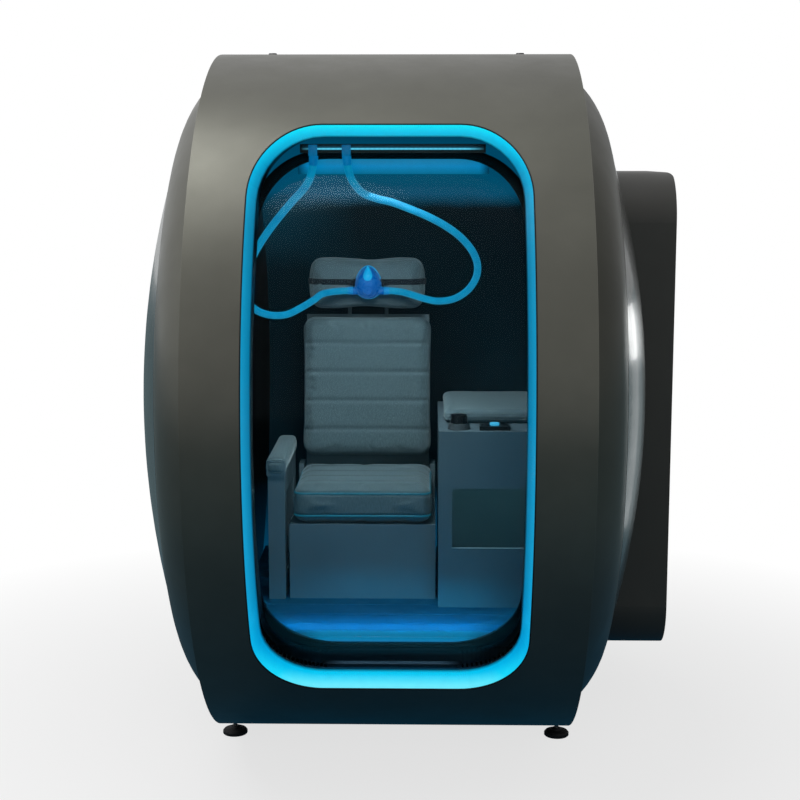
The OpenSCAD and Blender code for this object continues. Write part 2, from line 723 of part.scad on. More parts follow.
// Relief valve on the console's front deck, and the intercom beside it
knob_in = 60;
knob_x = console_x + knob_in;
knob_y = console_front + 50;
knob_stem_r = 8;
knob_r = 26;
deck_z = floor_z + console_h - pad_rise;
valve_h = 18;
module relief_valve_body() {
  color_steel() place() translate([knob_x, knob_y, deck_z]) difference() {
    cylinder(r1 = 34, r2 = 30, h = valve_h);
    translate([0, 0, -over]) cylinder(r = knob_stem_r + pin_gap, h = valve_h + 2 * over);
  }
}
module relief_valve_knob() {
  color_black() place() translate([knob_x, knob_y, deck_z + valve_h]) {
    difference() {
      translate([0, 0, slide_gap]) cylinder(r1 = knob_r, r2 = knob_r - 3, h = 24);
      for (i = [0:11]) rotate([0, 0, i * 30]) translate([knob_r + 2, 0, -over])
        cylinder(r = 5, h = 40);
    }
    translate([0, 0, -valve_h - 20]) cylinder(r = knob_stem_r, h = valve_h + 24);
  }
}
button_pitch = 105;
button_x = knob_x + button_pitch;
button_r = 14;
button_travel = 4;
plate_t = 12;
module intercom_plate() {
  color_black() place() translate([button_x, knob_y, deck_z]) difference() {
    translate([-45, -30, 0]) cube([90, 60, plate_t]);
    translate([0, 0, 4]) cylinder(r = button_r + slide_gap, h = plate_t);
    for (x = [-36, 36]) translate([x, 0, plate_t - 2]) cylinder(r = 4, h = 4);
  }
}
module intercom_button() {
  color([0.25, 0.8, 1]) place()
    translate([button_x, knob_y, deck_z + 4 + button_travel + slide_gap])
      cylinder(r = button_r, h = plate_t - 2);
}

// Cabinet, scribed to the side casing with its own outer shape from three rounded profiles
cabinet_front = 20;
cabinet_top = cowl_r - cabinet_drop;
cabinet_low = -cowl_r + cabinet_lift;
cabinet_edge = 16;
scribe = 3;
module cabinet_outer(inset) {
  t = cabinet_top - inset;
  b = cabinet_low + inset;
  f = cabinet_front + inset;
  k = cabinet_front + cabinet_d - inset;
  x = cabinet_out - inset;
  r = cabinet_r - inset;
  e = cabinet_edge - inset;
  x0 = half_w + 4;
  intersection() {
    translate([x0, 0, 0]) rotate([90, 0, 90]) linear_extrude(x - x0) {
      translate([f + r, b]) square([k - f - r, t - b]);
      translate([f, b + r]) square([k - f, t - b - 2 * r]);
      for (z = [b + r, t - r]) translate([f + r, z]) circle(r);
    }
    translate([0, k, 0]) rotate([90, 0, 0]) linear_extrude(k - f) {
      translate([x0, b]) square([x - e - x0, t - b]);
      translate([x0, b + e]) square([x - x0, t - b - 2 * e]);
      for (z = [b + e, t - e]) translate([x - e, z]) circle(e);
    }
  }
}
module casing_envelope(grow) {
  dish_solid(dome_rim, dome_rise, dome_out, grow);
  full_band() intersection() {
    translate(bulge_centre(casing_start, crease, shoulder_bulge))
      circle(bulge_radius(casing_start, crease, shoulder_bulge) + grow);
    translate([0, 0]) square([cowl_r, crease_x + grow]);
  }
  drum(crease_r + grow, 0, crease_x + grow);
  drum(cowl_r + grow, 0, half_w + grow);
}
// Service door in the cabinet's outer side
hatch_margin = 75;
hatch_front = cabinet_front + 70;
hatch_back = cabinet_front + cabinet_d - 45;
hatch_low = cabinet_low + hatch_margin;
hatch_high = cabinet_top - hatch_margin;
hatch_pin_r = 4;
hatch_pin_y = hatch_back - 14;
hatch_pin_x = cabinet_out - 9;
hatch_pin_h = 14;
fan_x = cabinet_out - 72;
fan_z = cabinet_top - 220;
fan_r = 56;
vent_slots = 10;
vent_pitch = 26;
vent_low = cabinet_low + 190;
module cabinet_shell() {
  back = cabinet_front + cabinet_d;
  color([0.13, 0.13, 0.14]) place() difference() {
    union() {
      difference() {
        cabinet_outer(0);
        cabinet_outer(cabinet_wall);
        translate([cabinet_out - 2 * cabinet_wall, hatch_front, hatch_low])
          cube([3 * cabinet_wall, hatch_back - hatch_front, hatch_high - hatch_low]);
      }
      intersection() {
        cabinet_outer(0);
        casing_envelope(scribe + cabinet_wall);
      }
      for (z = [hatch_low - hatch_pin_h - over, hatch_high + panel_gap])
        translate([cabinet_out - 22, hatch_pin_y - 10, z])
          cube([22 - cabinet_wall + 1, 20, hatch_pin_h]);
    }
    casing_envelope(scribe);
    duct_hole(duct_r + hole_gap);
    translate([hatch_pin_x, hatch_pin_y, hatch_low - hatch_pin_h - 2 * over])
      cylinder(r = hatch_pin_r + pin_gap, h = hatch_high - hatch_low + 2 * hatch_pin_h + 4 * over);
    translate([fan_x, back + over, fan_z]) rotate([90, 0, 0])
      cylinder(r = fan_r - 2, h = cabinet_wall + 2 * over);
    for (i = [0:vent_slots - 1])
      translate([cabinet_out - 120, back - cabinet_wall - over, vent_low + i * vent_pitch])
        cube([80, cabinet_wall + 2 * over, 10]);
  }
}
rail_z = 420;
rail_h = 60;
rail_front = cabinet_front + 60;
rail_back = rail_front + 400;
module cabinet_bracket() {
  $fn = fine;
  color_steel() place() for (z = [-rail_z, rail_z]) intersection() {
    translate([half_w, rail_front, z - rail_h / 2])
      cube([cabinet_out - half_w, rail_back - rail_front, rail_h]);
    difference() {
      dish_solid(dome_rim, dome_rise, dome_out, scribe);
      dish_solid(dome_rim, dome_rise, dome_out, 0);
    }
  }
}
floor_in = cabinet_low + cabinet_wall;
compressor_y = cabinet_front + 210;
module compressor() {
  fins = 7;
  color([0.25, 0.27, 0.30]) place() translate([cabinet_out - 92, compressor_y, floor_in]) {
    translate([-60, 0, 0]) cube([104, 260, 16]);
    translate([0, 10, 82]) rotate([-90, 0, 0]) cylinder(r = 55, h = 150);
    translate([-40, 30, 16]) cube([80, 110, 30]);
    translate([0, 215, 16]) cylinder(r = 34, h = 110);
    for (i = [0:fins - 1]) translate([0, 215, 50 + i * 11]) cylinder(r = 44, h = 4);
    translate([0, 150, 90]) rotate([-90, 0, 0]) cylinder(r = 18, h = 50);
  }
}
tank_r = 42;
tank_h = 420;
tank_x = cabinet_out - 64;
tank_y = cabinet_front + 310;
tank_pitch = 100;
tank_low = cabinet_low + 350;
module sieve_tanks() {
  shelf_y = tank_y - 30;
  color([0.75, 0.77, 0.78]) place() for (i = [0, 1])
    translate([tank_x, tank_y + i * tank_pitch, tank_low]) {
      cylinder(r = tank_r, h = tank_h);
      translate([0, 0, tank_h]) sphere(r = tank_r);
      translate([-14, -10, -30]) cube([28, 20, 40]);
    }
  color_steel() place() translate([tank_x - 30, shelf_y, tank_low - 40])
    cube([60, cabinet_front + cabinet_d - cabinet_wall - shelf_y, 10]);
}
box_z = cabinet_top - 550;
box_depth = 190;
socket_pitch = 36;
module control_box() {
  color([0.55, 0.57, 0.60]) place()
    translate([cabinet_out - 70, cabinet_front + cabinet_d - cabinet_wall - box_depth, box_z]) {
    cube([46, box_depth, 220]);
    for (i = [0:2]) translate([46, 30 + i * socket_pitch, 20]) cube([6, 20, 12]);
  }
}
shroud_t = 36;
module fan_shroud() {
  back = cabinet_front + cabinet_d - cabinet_wall;
  color_black() place() translate([fan_x, back, fan_z]) {
    difference() {
      translate([-fan_r - 4, -shroud_t, -fan_r - 4])
        cube([2 * fan_r + 8, shroud_t, 2 * fan_r + 8]);
      translate([0, over, 0]) rotate([90, 0, 0]) cylinder(r = fan_r, h = shroud_t + 2 * over);
    }
    difference() {
      union() {
        for (a = [0, 60, 120]) rotate([0, a, 0]) translate([-fan_r - 1, -shroud_t, -2])
          cube([2 * fan_r + 2, 4, 4]);
        translate([0, -shroud_t + 6, 0]) rotate([90, 0, 0]) cylinder(r = 14, h = 6);
      }
      translate([0, over - shroud_t + 6, 0]) rotate([90, 0, 0]) cylinder(r = 4 + pin_gap, h = 14);
    }
  }
}
module fan_rotor() {
  blades = 7;
  back = cabinet_front + cabinet_d - cabinet_wall;
  color([0.2, 0.2, 0.22]) place() translate([fan_x, back, fan_z]) {
    translate([0, -shroud_t + 6.5, 0]) rotate([-90, 0, 0]) cylinder(r = 18, h = 20);
    translate([0, -shroud_t + 1, 0]) rotate([-90, 0, 0]) cylinder(r = 4, h = 8);
    for (i = [0:blades - 1]) rotate([0, i * 360 / blades, 0]) translate([14, -shroud_t + 9, -1.5])
      rotate([28, 0, 0]) cube([fan_r - 17, 20, 2.5]);
  }
}
module service_duct() {
  start = dish_x(norm([duct_y, duct_z]), head_crease[0], head_rise, head_apex) - 20;
  color_black() place() translate([start, duct_y, duct_z]) rotate([0, 90, 0]) difference() {
    cylinder(r = duct_r, h = duct_end - start);
    translate([0, 0, -over]) cylinder(r = duct_r - duct_wall, h = duct_end - start + 2 * over);
  }
}

// Sliding door: pane in its frame, carriages with axles, and rollers
window_step = 12;
window = grown(reveal_in, window_step);
module door_blank(r_in, r_out, w) {
  arc_band(-door_low_angle, door_high_angle) ring_profile(r_in, r_out, -w / 2, w / 2);
}
module door_pane() {
  $fn = fine;
  color([0.55, 0.75, 0.85, 0.35]) place() intersection() {
    band(pane_in, pane_out, -half_w, half_w);
    doorway(window);
  }
}
module door_frame() {
  color_black() place() difference() {
    door_blank(frame_in, pane_out, door_w);
    doorway(window);
  }
}
axle_end = roller_x + roller_w / 2 + 6;
module at_rollers(angles) {
  for (a = angles, s = [-1, 1])
    mirrored(s) translate([0, polar(track_mid, a)[0], polar(track_mid, a)[1]])
      rotate([-a, 0, 0]) children();
}
module door_carriages() {
  arm = roller_x - roller_w / 2 - door_w / 2 - 1;
  color_steel() place() at_rollers([roller_high_angle, -roller_low_angle]) {
    translate([door_w / 2, -8, -24]) cube([arm, 16, 48]);
    translate([door_w / 2, 0, 0]) rotate([0, 90, 0]) cylinder(d = axle_d, h = axle_end - door_w / 2);
  }
}
module rollers(a) {
  color([0.85, 0.86, 0.88]) place() at_rollers([a])
    translate([roller_x - roller_w / 2, 0, 0]) rotate([0, 90, 0]) difference() {
      cylinder(d = roller_d, h = roller_w);
      translate([0, 0, -over]) cylinder(d = axle_d + 2 * pin_gap, h = roller_w + 2 * over);
      for (i = [0:4]) rotate([0, 0, i * 72]) translate([13, 0, -over])
        cylinder(r = 2.5, h = roller_w + 2 * over);
    }
}

// Backrest in its own leaning frame, with the origin on the recline pivot
pivot_r = 8;
module leaning() { translate([seat_x, pivot_y, pivot_z]) rotate([-lean, 0, 0]) children(); }
module pivot_line(r) {
  translate([seat_x - seat_w, pivot_y, pivot_z]) rotate([0, 90, 0]) cylinder(r = r, h = 2 * seat_w);
}
shell_w = seat_w - 40;
post_x = 60;
post_y = 7;
post_r = 6;
post_top = headrest_low + headrest_h / 3;
headrest_t = 96;
module backrest_shell() {
  knuckle = 22;
  color([0.12, 0.14, 0.17]) place() leaning() {
    translate([-shell_w / 2, 0, 0]) cube([shell_w, 14, back_h + back_low]);
    for (s = [-1, 1]) translate([s * (shell_w / 2 - 10), 0, 0]) {
      translate([-10, 0, -10]) cube([20, 24, back_h + 30]);
      rotate([0, 90, 0]) translate([0, 0, -10]) cylinder(r = knuckle, h = 20);
    }
    rotate([0, 90, 0]) translate([0, 0, -seat_w / 2 + 2]) cylinder(r = pivot_r, h = seat_w - 4);
    for (s = [-1, 1]) translate([s * post_x, post_y, back_h]) {
      cylinder(r = post_r, h = post_top - back_h);
      translate([-post_r, -headrest_out + headrest_t / 2 - post_y, post_top - back_h - 2 * post_r])
        cube([2 * post_r, headrest_out - headrest_t / 2 + post_y, 2 * post_r]);
    }
  }
}
module backrest_cushion() {
  color_fabric() place() leaning() translate([0, -back_t / 2 - slide_gap, back_low + back_h / 2])
    rotate([90, 0, 0]) cushion(seat_w - 6, back_h, back_t, 0.015);
}
module headrest() {
  color_fabric() place() leaning() difference() {
    translate([0, -headrest_out + headrest_t / 2, headrest_low + headrest_h / 2]) rotate([90, 0, 0])
      cushion(headrest_w, headrest_h, headrest_t, 0.02);
    for (s = [-1, 1])
      translate([s * post_x - post_r - slide_gap, -headrest_out + headrest_t / 2 - slide_gap,
          post_top - 2 * post_r - slide_gap])
        cube([2 * (post_r + slide_gap), headrest_out, 2 * (post_r + slide_gap)]);
  }
}

// Breathing mask parked on the headrest: a hollow shell, its face seal and its strap
mask_depth = 62;
mask_w = 84;
mask_h = 104;
mask_wall = 3;
mask_steps = 8;
mask_points = 28;
port_r = 12;
port_overlap = 0.5;
function mask_loop(f, y, inset) = [for (i = [0:mask_points - 1])
  let (a = 360 * i / mask_points, w = (mask_w / 2 - inset) * f * (1 - 0.22 * sin(a)))
    [mask_x + w * cos(a), y, mask_z + (mask_h / 2 - inset) * f * sin(a)]];
function mask_bowl(depth, inset) = [for (k = [0:mask_steps])
  let (u = 88 * k / mask_steps) mask_loop(pow(cos(u), 0.6), mask_rim_y - depth * sin(u), inset)];
function flipped(list) = [for (i = [len(list) - 1:-1:0]) list[i]];
module mask_shell() {
  left_end = left_route[len(left_route) - 1][0] + port_overlap;
  right_end = right_route[len(right_route) - 1][0] - port_overlap;
  color([0.15, 0.45, 0.95, 0.8]) place() {
    skinned(concat(flipped(mask_bowl(mask_depth - mask_wall, mask_wall)), mask_bowl(mask_depth, 0)));
    for (e = [[left_end, mask_x - mask_w * 0.28], [mask_x + mask_w * 0.28, right_end]])
      translate([e[0], port_y, port_z]) rotate([0, 90, 0])
        cylinder(r = port_r, h = e[1] - e[0], $fn = 32);
  }
}
module mask_cushion() {
  seal = 6;
  color([0.45, 0.75, 0.95]) place() skinned([for (k = [0:9])
    let (b = -360 * k / 10)
      mask_loop(1, mask_rim_y + slide_gap + seal * (1 + sin(b)) / 2, -seal / 2 * cos(b) + 2)],
    looped = true);
}
strap_h = 20;
strap_t = 2.5;
module mask_strap() {
  front = mask_rim_y + 6.6;
  out = headrest_w / 2 + 2;
  deep = 106;
  color_black() place() translate([seat_x, front, mask_z - strap_h / 2])
    linear_extrude(strap_h) difference() {
      strap_outline(out + strap_t, deep + 2 * strap_t, 0);
      strap_outline(out, deep, strap_t);
    }
}
module strap_outline(hw, d, y) {
  r = d * 0.4;
  translate([-hw + r, y]) square([2 * (hw - r), d]);
  translate([-hw, y + r]) square([2 * hw, d - 2 * r]);
  for (x = [-1, 1], b = [y + r, y + d - r]) translate([x * (hw - r), b]) circle(r);
}

lever_y = 120;
lever_z = floor_z + 190;
lever_pin_r = 6;
module recline_lever() {
  color_black() place() translate([seat_x - seat_w / 2, lever_y, lever_z]) {
    rotate([0, -90, 0]) translate([0, 0, -13]) cylinder(r = lever_pin_r, h = 26);
    translate([-13, -12, -12]) cube([10, 24, 24]);
    translate([-13, -110, -8]) cube([10, 104, 16]);
  }
}

module cabinet_door() {
  gap = panel_gap;
  slots = 9;
  t = cabinet_wall;
  color([0.16, 0.16, 0.17]) place() {
    difference() {
      union() {
        translate([cabinet_out - t, hatch_front + gap, hatch_low + gap])
          cube([t, hatch_back - hatch_front - 3 * gap, hatch_high - hatch_low - 2 * gap]);
        translate([hatch_pin_x - 6, hatch_pin_y - 6, hatch_low + gap])
          cube([cabinet_out - hatch_pin_x + 2, 12, hatch_high - hatch_low - 2 * gap]);
      }
      for (i = [0:slots - 1], z = [hatch_low + 90, hatch_high - 90 - slots * 18])
        translate([cabinet_out - t - over, hatch_front + 110, z + i * 18]) cube([t + 2 * over, 220, 7]);
      translate([0, latch_y, latch_z]) rotate([0, 90, 0])
        cylinder(r = latch_r + pin_gap, h = cabinet_out + over);
    }
    for (z = [hatch_low - hatch_pin_h + 4, hatch_high - gap - 1]) translate([hatch_pin_x, hatch_pin_y, z])
      cylinder(r = hatch_pin_r, h = hatch_pin_h - 1);
  }
}
latch_y = hatch_front + 40;
latch_z = -40;
latch_r = 9;
module cabinet_latch() {
  t = cabinet_wall;
  color_steel() place() translate([cabinet_out, latch_y, latch_z]) {
    difference() {
      translate([slide_gap, 0, 0]) rotate([0, 90, 0]) cylinder(r = 14, h = latch_head);
      translate([slide_gap + 2, -10, -1.5]) cube([4, 20, 3]);
    }
    translate([slide_gap + 1, 0, 0]) rotate([0, -90, 0]) cylinder(r = latch_r, h = t + 10);
    translate([-t - 10, -28, -7]) cube([6, 34, 14]);
  }
}

vessel_barrel();
vessel_head(-1);  // vessel_head_left
vessel_head(1);  // vessel_head_right
door_neck();
glow_ring();
door_gasket();
hoop(-1);  // hoop_left
hoop(1);  // hoop_right
cradle_ties();
foot_studs();
foot_pads();
front_cowl();
rear_cowl();
side_casing(-1);  // side_casing_left
side_casing(1);  // side_casing_right
side_dome(-1);  // side_dome_left
side_dome(1);  // side_dome_right
lifting_plugs();
cabin_liner();
jamb_ring();
door_track(-1);  // door_track_left
door_track(1);  // door_track_right
cabin_floor();
oxygen_manifold();
light_bar();
hose_collars();
hose_left();
hose_right();
seat_base();
seat_cushion();
armrest();
side_console();
console_pad();
air_diffuser();
relief_valve_body();
intercom_plate();
cabinet_shell();
cabinet_bracket();
compressor();
sieve_tanks();
control_box();
fan_shroud();
service_duct();
door_pane();
door_frame();
door_carriages();
rollers(roller_high_angle);  // rollers_upper
rollers(-roller_low_angle);  // rollers_lower
backrest_shell();
backrest_cushion();
headrest();
mask_shell();
mask_cushion();
mask_strap();
recline_lever();
relief_valve_knob();
intercom_button();
cabinet_door();
cabinet_latch();
fan_rotor();
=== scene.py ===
"""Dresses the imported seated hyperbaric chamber: finishes, soft pieces, hoses and fine parts."""

import logging
import math
from dataclasses import dataclass
from enum import Enum

import bmesh
import bpy
from bpy.types import ID, Material, Modifier, Node, NodeSocket, Object
from mathutils import Matrix, Vector
from mathutils.geometry import interpolate_bezier


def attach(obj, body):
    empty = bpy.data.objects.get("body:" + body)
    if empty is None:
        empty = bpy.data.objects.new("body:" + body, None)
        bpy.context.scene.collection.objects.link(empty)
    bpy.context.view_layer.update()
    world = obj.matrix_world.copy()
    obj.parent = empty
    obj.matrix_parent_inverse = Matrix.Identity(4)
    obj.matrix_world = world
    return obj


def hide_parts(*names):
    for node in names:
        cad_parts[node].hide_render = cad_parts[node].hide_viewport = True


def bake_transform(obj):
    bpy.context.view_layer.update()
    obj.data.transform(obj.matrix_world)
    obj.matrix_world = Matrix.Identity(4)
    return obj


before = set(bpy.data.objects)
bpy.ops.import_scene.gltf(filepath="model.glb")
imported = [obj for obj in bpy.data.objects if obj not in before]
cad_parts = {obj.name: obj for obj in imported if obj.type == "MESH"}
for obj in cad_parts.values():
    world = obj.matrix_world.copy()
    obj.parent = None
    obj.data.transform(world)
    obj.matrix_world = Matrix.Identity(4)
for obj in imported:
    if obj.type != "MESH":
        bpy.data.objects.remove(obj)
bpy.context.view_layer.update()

log = logging.getLogger("chamber")

Pair = tuple[float, float]
Triple = tuple[float, float, float]
Screen = tuple[int, int, int]
Colour = tuple[float, float, float, float]

MM = 0.001
BARREL = Vector((-0.05615, 0.0, 1.045))
PIVOT = Vector((-100, 300, -310)) * MM
LEAN_ANGLE = math.radians(-8)
LEAN = Matrix.Translation(BARREL + PIVOT) @ Matrix.Rotation(LEAN_ANGLE, 4, "X")
BLACK = (0.0, 0.0, 0.0, 1.0)
WHITE = (1.0, 1.0, 1.0, 1.0)


def at(x: float, y: float, z: float) -> Vector:
    """Returns a point of the row frame, in metres, from millimetres about the barrel's middle."""
    return BARREL + Vector((x, y, z)) * MM


def tone(red: int, green: int, blue: int) -> Colour:
    """Turns a screen colour, 0 to 255, into the linear one that shaders take."""
    shares = [c / 255 for c in (red, green, blue)]
    linear = [c / 12.92 if c <= 0.04045 else ((c + 0.055) / 1.055) ** 2.4 for c in shares]
    return (linear[0], linear[1], linear[2], 1.0)


def shade(base: Colour, factor: float, lift: float = 0.0) -> Colour:
    """Darkens or lightens a linear colour by a factor and lifts it, up to white."""
    return tuple(min(1.0, c * factor + lift) for c in base[:3]) + (1.0,)


class Slot(Enum):
    """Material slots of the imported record."""

    COWL = "cowl_metal"
    DOME = "dome_gloss"
    VESSEL = "vessel_steel"
    FRAME = "frame_steel"
    GLOW = "glow"
    SEAL = "seal_rubber"
    TRIM = "black_trim"
    LINING = "cabin_lining"
    FLOOR = "floor_rubber"
    FABRIC = "seat_fabric"
    CONSOLE = "console_shell"
    CABINET = "cabinet_metal"
    PUMP = "pump_casting"
    TANK = "tank_white"
    CONTROL = "control_grey"
    FAN = "fan_blade"
    NYLON = "roller_nylon"
    PANE = "pane_acrylic"
    HOSE = "hose_blue"
    MASK = "mask_blue"
    SILICONE = "mask_silicone"
    STRAP = "strap_webbing"


class Graph:
    """The node tree of a material or world, with short ways to add the nodes that many share."""

    def __init__(self, owner: ID, output: str = "OutputMaterial") -> None:
        """Empties the owner's tree and adds its output node."""
        owner.use_nodes = True
        self.owner = owner
        self.tree = owner.node_tree
        self.tree.nodes.clear()
        self.output = self.node(output)

    def node(self, kind: str, feeds: dict | None = None, **settings: object) -> Node:
        """Adds a node.

        Args:
            kind: Its type, without the leading ShaderNode.
            feeds: What goes into its sockets, a socket or a plain value each.
            settings: Its own properties.

        Returns:
            The node.
        """
        made = self.tree.nodes.new("ShaderNode" + kind)
        for key, value in settings.items():
            setattr(made, key, value)
        for key, value in (feeds or {}).items():
            if isinstance(value, NodeSocket):
                self.tree.links.new(value, made.inputs[key])
            else:
                made.inputs[key].default_value = value
        return made

    def place(self, scale: Triple = (1, 1, 1)) -> NodeSocket:
        """Gives the object's own coordinates, scaled along each axis."""
        own = self.node("TexCoord").outputs["Object"]
        return self.node("Mapping", {"Vector": own, "Scale": scale}).outputs["Vector"]

    def axes(self, vector: NodeSocket | None = None) -> object:
        """Splits a vector, by default the object's own coordinates, into X, Y and Z."""
        return self.node("SeparateXYZ", {0: self.place() if vector is None else vector}).outputs

    def across(self) -> NodeSocket:
        """Gives how far along its axis a point lies from the barrel's middle, in metres."""
        return self.sums("ABSOLUTE", self.sums("SUBTRACT", self.axes()["X"], BARREL.x))

    def noise(self, vector: NodeSocket, scale: float, detail: float = 3, rough: float = 0.5) -> NodeSocket:
        """Adds a noise pattern and returns its factor."""
        feeds = {"Vector": vector, "Scale": scale, "Detail": detail, "Roughness": rough}
        return self.node("TexNoise", feeds).outputs[0]

    def cells(self, vector: NodeSocket, scale: float, feature: str = "F1") -> NodeSocket:
        """Adds a cell pattern and returns its distance."""
        feeds = {"Vector": vector, "Scale": scale}
        return self.node("TexVoronoi", feeds, feature=feature).outputs["Distance"]

    def wave(self, vector: NodeSocket, scale: float, axis: str) -> NodeSocket:
        """Adds straight waves across an axis and returns their factor."""
        feeds = {"Vector": vector, "Scale": scale}
        settings = {"wave_type": "BANDS", "bands_direction": axis, "wave_profile": "SIN"}
        return self.node("TexWave", feeds, **settings).outputs[1]

    def sums(self, kind: str, first: object, second: object = 0.0) -> NodeSocket:
        """Adds a Math node of a kind on two sockets or values."""
        return self.node("Math", {0: first, 1: second}, operation=kind).outputs[0]

    def spread(
        self, value: NodeSocket, low: float, high: float, start: float = 0.0, end: float = 1.0
    ) -> NodeSocket:
        """Maps a factor from start and end to low and high, held at both."""
        feeds = {"Value": value, "From Min": start, "From Max": end, "To Min": low, "To Max": high}
        return self.node("MapRange", feeds, clamp=True).outputs[0]

    def ramp(self, value: NodeSocket, stops: list[tuple[float, tuple]]) -> NodeSocket:
        """Colours a factor by a list of places and colours."""
        made = self.node("ValToRGB", {"Fac": value})
        marks = made.color_ramp.elements
        while len(marks) < len(stops):
            marks.new(0.5)
        for mark, (place, colour) in zip(marks, stops):
            mark.position = place
            mark.color = colour
        return made.outputs["Color"]

    def blend(self, share: object, first: object, second: object, kind: str = "MIX") -> NodeSocket:
        """Mixes two colours by how much of the second shows."""
        feeds = {0: share, 6: first, 7: second}
        return self.node("Mix", feeds, data_type="RGBA", blend_type=kind).outputs[2]

    def relief(self, height: NodeSocket, depth: float, strength: float = 1.0) -> NodeSocket:
        """Turns a height pattern into a bump of a depth in metres."""
        feeds = {"Strength": strength, "Distance": depth, "Height": height}
        return self.node("Bump", feeds).outputs["Normal"]

    def worn_edges(self, radius: float) -> NodeSocket:
        """Gives a factor that rises towards 1 on edges within a radius in metres."""
        rounded = self.node("Bevel", {"Radius": radius}, samples=4).outputs["Normal"]
        flat = self.node("NewGeometry").outputs["Normal"]
        dot = self.node("VectorMath", {0: rounded, 1: flat}, operation="DOT_PRODUCT")
        return self.spread(dot.outputs["Value"], 1.0, 0.0, 0.86, 1.0)

    def layered(self, share: NodeSocket, under: Node, over: Node) -> Node:
        """Mixes two shaders by how much of the upper one shows."""
        return self.node("MixShader", {0: share, 1: under.outputs[0], 2: over.outputs[0]})

    def close(self, shader: Node) -> None:
        """Joins the last shader to the output."""
        self.tree.links.new(shader.outputs[0], self.output.inputs["Surface"])

    def surface(self, **inputs: object) -> None:
        """Feeds the main shader and joins it to the output."""
        self.close(self.node("BsdfPrincipled", {key.replace("_", " "): v for key, v in inputs.items()}))


class Finish:
    """A material recipe. Each kind fills the node tree in its own way."""

    def fill(self, g: Graph) -> None:
        """Builds the nodes."""
        raise NotImplementedError

    def make(self, name: str) -> Material:
        """Builds the material under a name."""
        g = Graph(bpy.data.materials.new(name))
        self.fill(g)
        return g.owner


@dataclass(frozen=True)
class Paint(Finish):
    """Sprayed or powder-coated metal with orange peel, faint clouding and rubbed edges."""

    colour: Screen
    metallic: float = 0.0
    rough: Pair = (0.35, 0.48)
    peel: float = 700.0
    peel_depth: float = 0.00003
    coat: float = 0.0
    worn: float = 0.25
    shine: float = 0.5

    def fill(self, g: Graph) -> None:
        """Builds the nodes."""
        place = g.place()
        cloud = g.noise(place, 2.3, 4, 0.6)
        fleck = g.noise(place, 1400, 2, 0.5)
        base = tone(*self.colour)
        dark = shade(base, 0.86)
        pale = shade(base, 1.16, 0.004)
        colour = g.ramp(cloud, [(0.3, dark), (0.52, base), (0.75, pale)])
        colour = g.blend(g.spread(fleck, 0.0, 0.35, 0.52, 0.75), colour, pale)
        edge = g.sums("MULTIPLY", g.worn_edges(0.0025), self.worn)
        rubbed = shade(base, 1.8, 0.05)
        colour = g.blend(edge, colour, rubbed)
        rough = g.spread(g.noise(place, 7.0, 5, 0.65), self.rough[0], self.rough[1], 0.3, 0.7)
        peel = g.relief(g.noise(place, self.peel, 2, 0.5), self.peel_depth, 0.6)
        g.surface(
            Base_Color=colour,
            Metallic=self.metallic,
            Roughness=rough,
            Normal=peel,
            Specular_IOR_Level=self.shine,
            Coat_Weight=self.coat,
            Coat_Roughness=0.06,
        )


@dataclass(frozen=True)
class BareSteel(Finish):
    """Brushed or rolled steel with fine streaks along one axis."""

    colour: Screen = (158, 160, 162)
    along: Triple = (4.0, 900.0, 900.0)
    rough: Pair = (0.28, 0.45)

    def fill(self, g: Graph) -> None:
        """Builds the nodes."""
        streak = g.noise(g.place(scale=self.along), 1.0, 3, 0.6)
        stain = g.noise(g.place(), 5.0, 4, 0.6)
        base = tone(*self.colour)
        dull = shade(base, 0.72)
        colour = g.blend(g.spread(stain, 0.0, 0.6, 0.45, 0.75), base, dull)
        colour = g.blend(g.spread(streak, 0.0, 0.4, 0.35, 0.7), colour, dull)
        rough = g.spread(streak, self.rough[0], self.rough[1], 0.3, 0.7)
        g.surface(Base_Color=colour, Metallic=1.0, Roughness=rough, Normal=g.relief(streak, 0.00003, 0.5))


@dataclass(frozen=True)
class Moulded(Finish):
    """Moulded plastic or rubber with a fine spark texture, and dust in its hollows."""

    colour: Screen
    rough: Pair = (0.45, 0.6)
    grain: float = 900.0
    depth: float = 0.00006
    worn: float = 0.2
    speckle: float = 0.0
    shine: float = 0.4

    def fill(self, g: Graph) -> None:
        """Builds the nodes."""
        place = g.place()
        base = tone(*self.colour)
        pale = shade(base, 1.35, 0.01)
        colour = g.blend(g.spread(g.noise(place, 4.0, 4, 0.6), 0.0, 0.45, 0.4, 0.75), base, pale)
        if self.speckle:
            spot = g.spread(g.cells(place, 260), 1.0, 0.0, 0.12, 0.2)
            colour = g.blend(g.sums("MULTIPLY", spot, self.speckle), colour, tone(120, 150, 165))
        edge = g.sums("MULTIPLY", g.worn_edges(0.002), self.worn)
        colour = g.blend(edge, colour, shade(base, 2.2, 0.03))
        texture = g.noise(place, self.grain, 3, 0.6)
        rough = g.spread(g.noise(place, 11.0, 4, 0.6), self.rough[0], self.rough[1], 0.3, 0.7)
        g.surface(
            Base_Color=colour,
            Roughness=rough,
            Normal=g.relief(texture, self.depth, 0.7),
            Specular_IOR_Level=self.shine,
        )


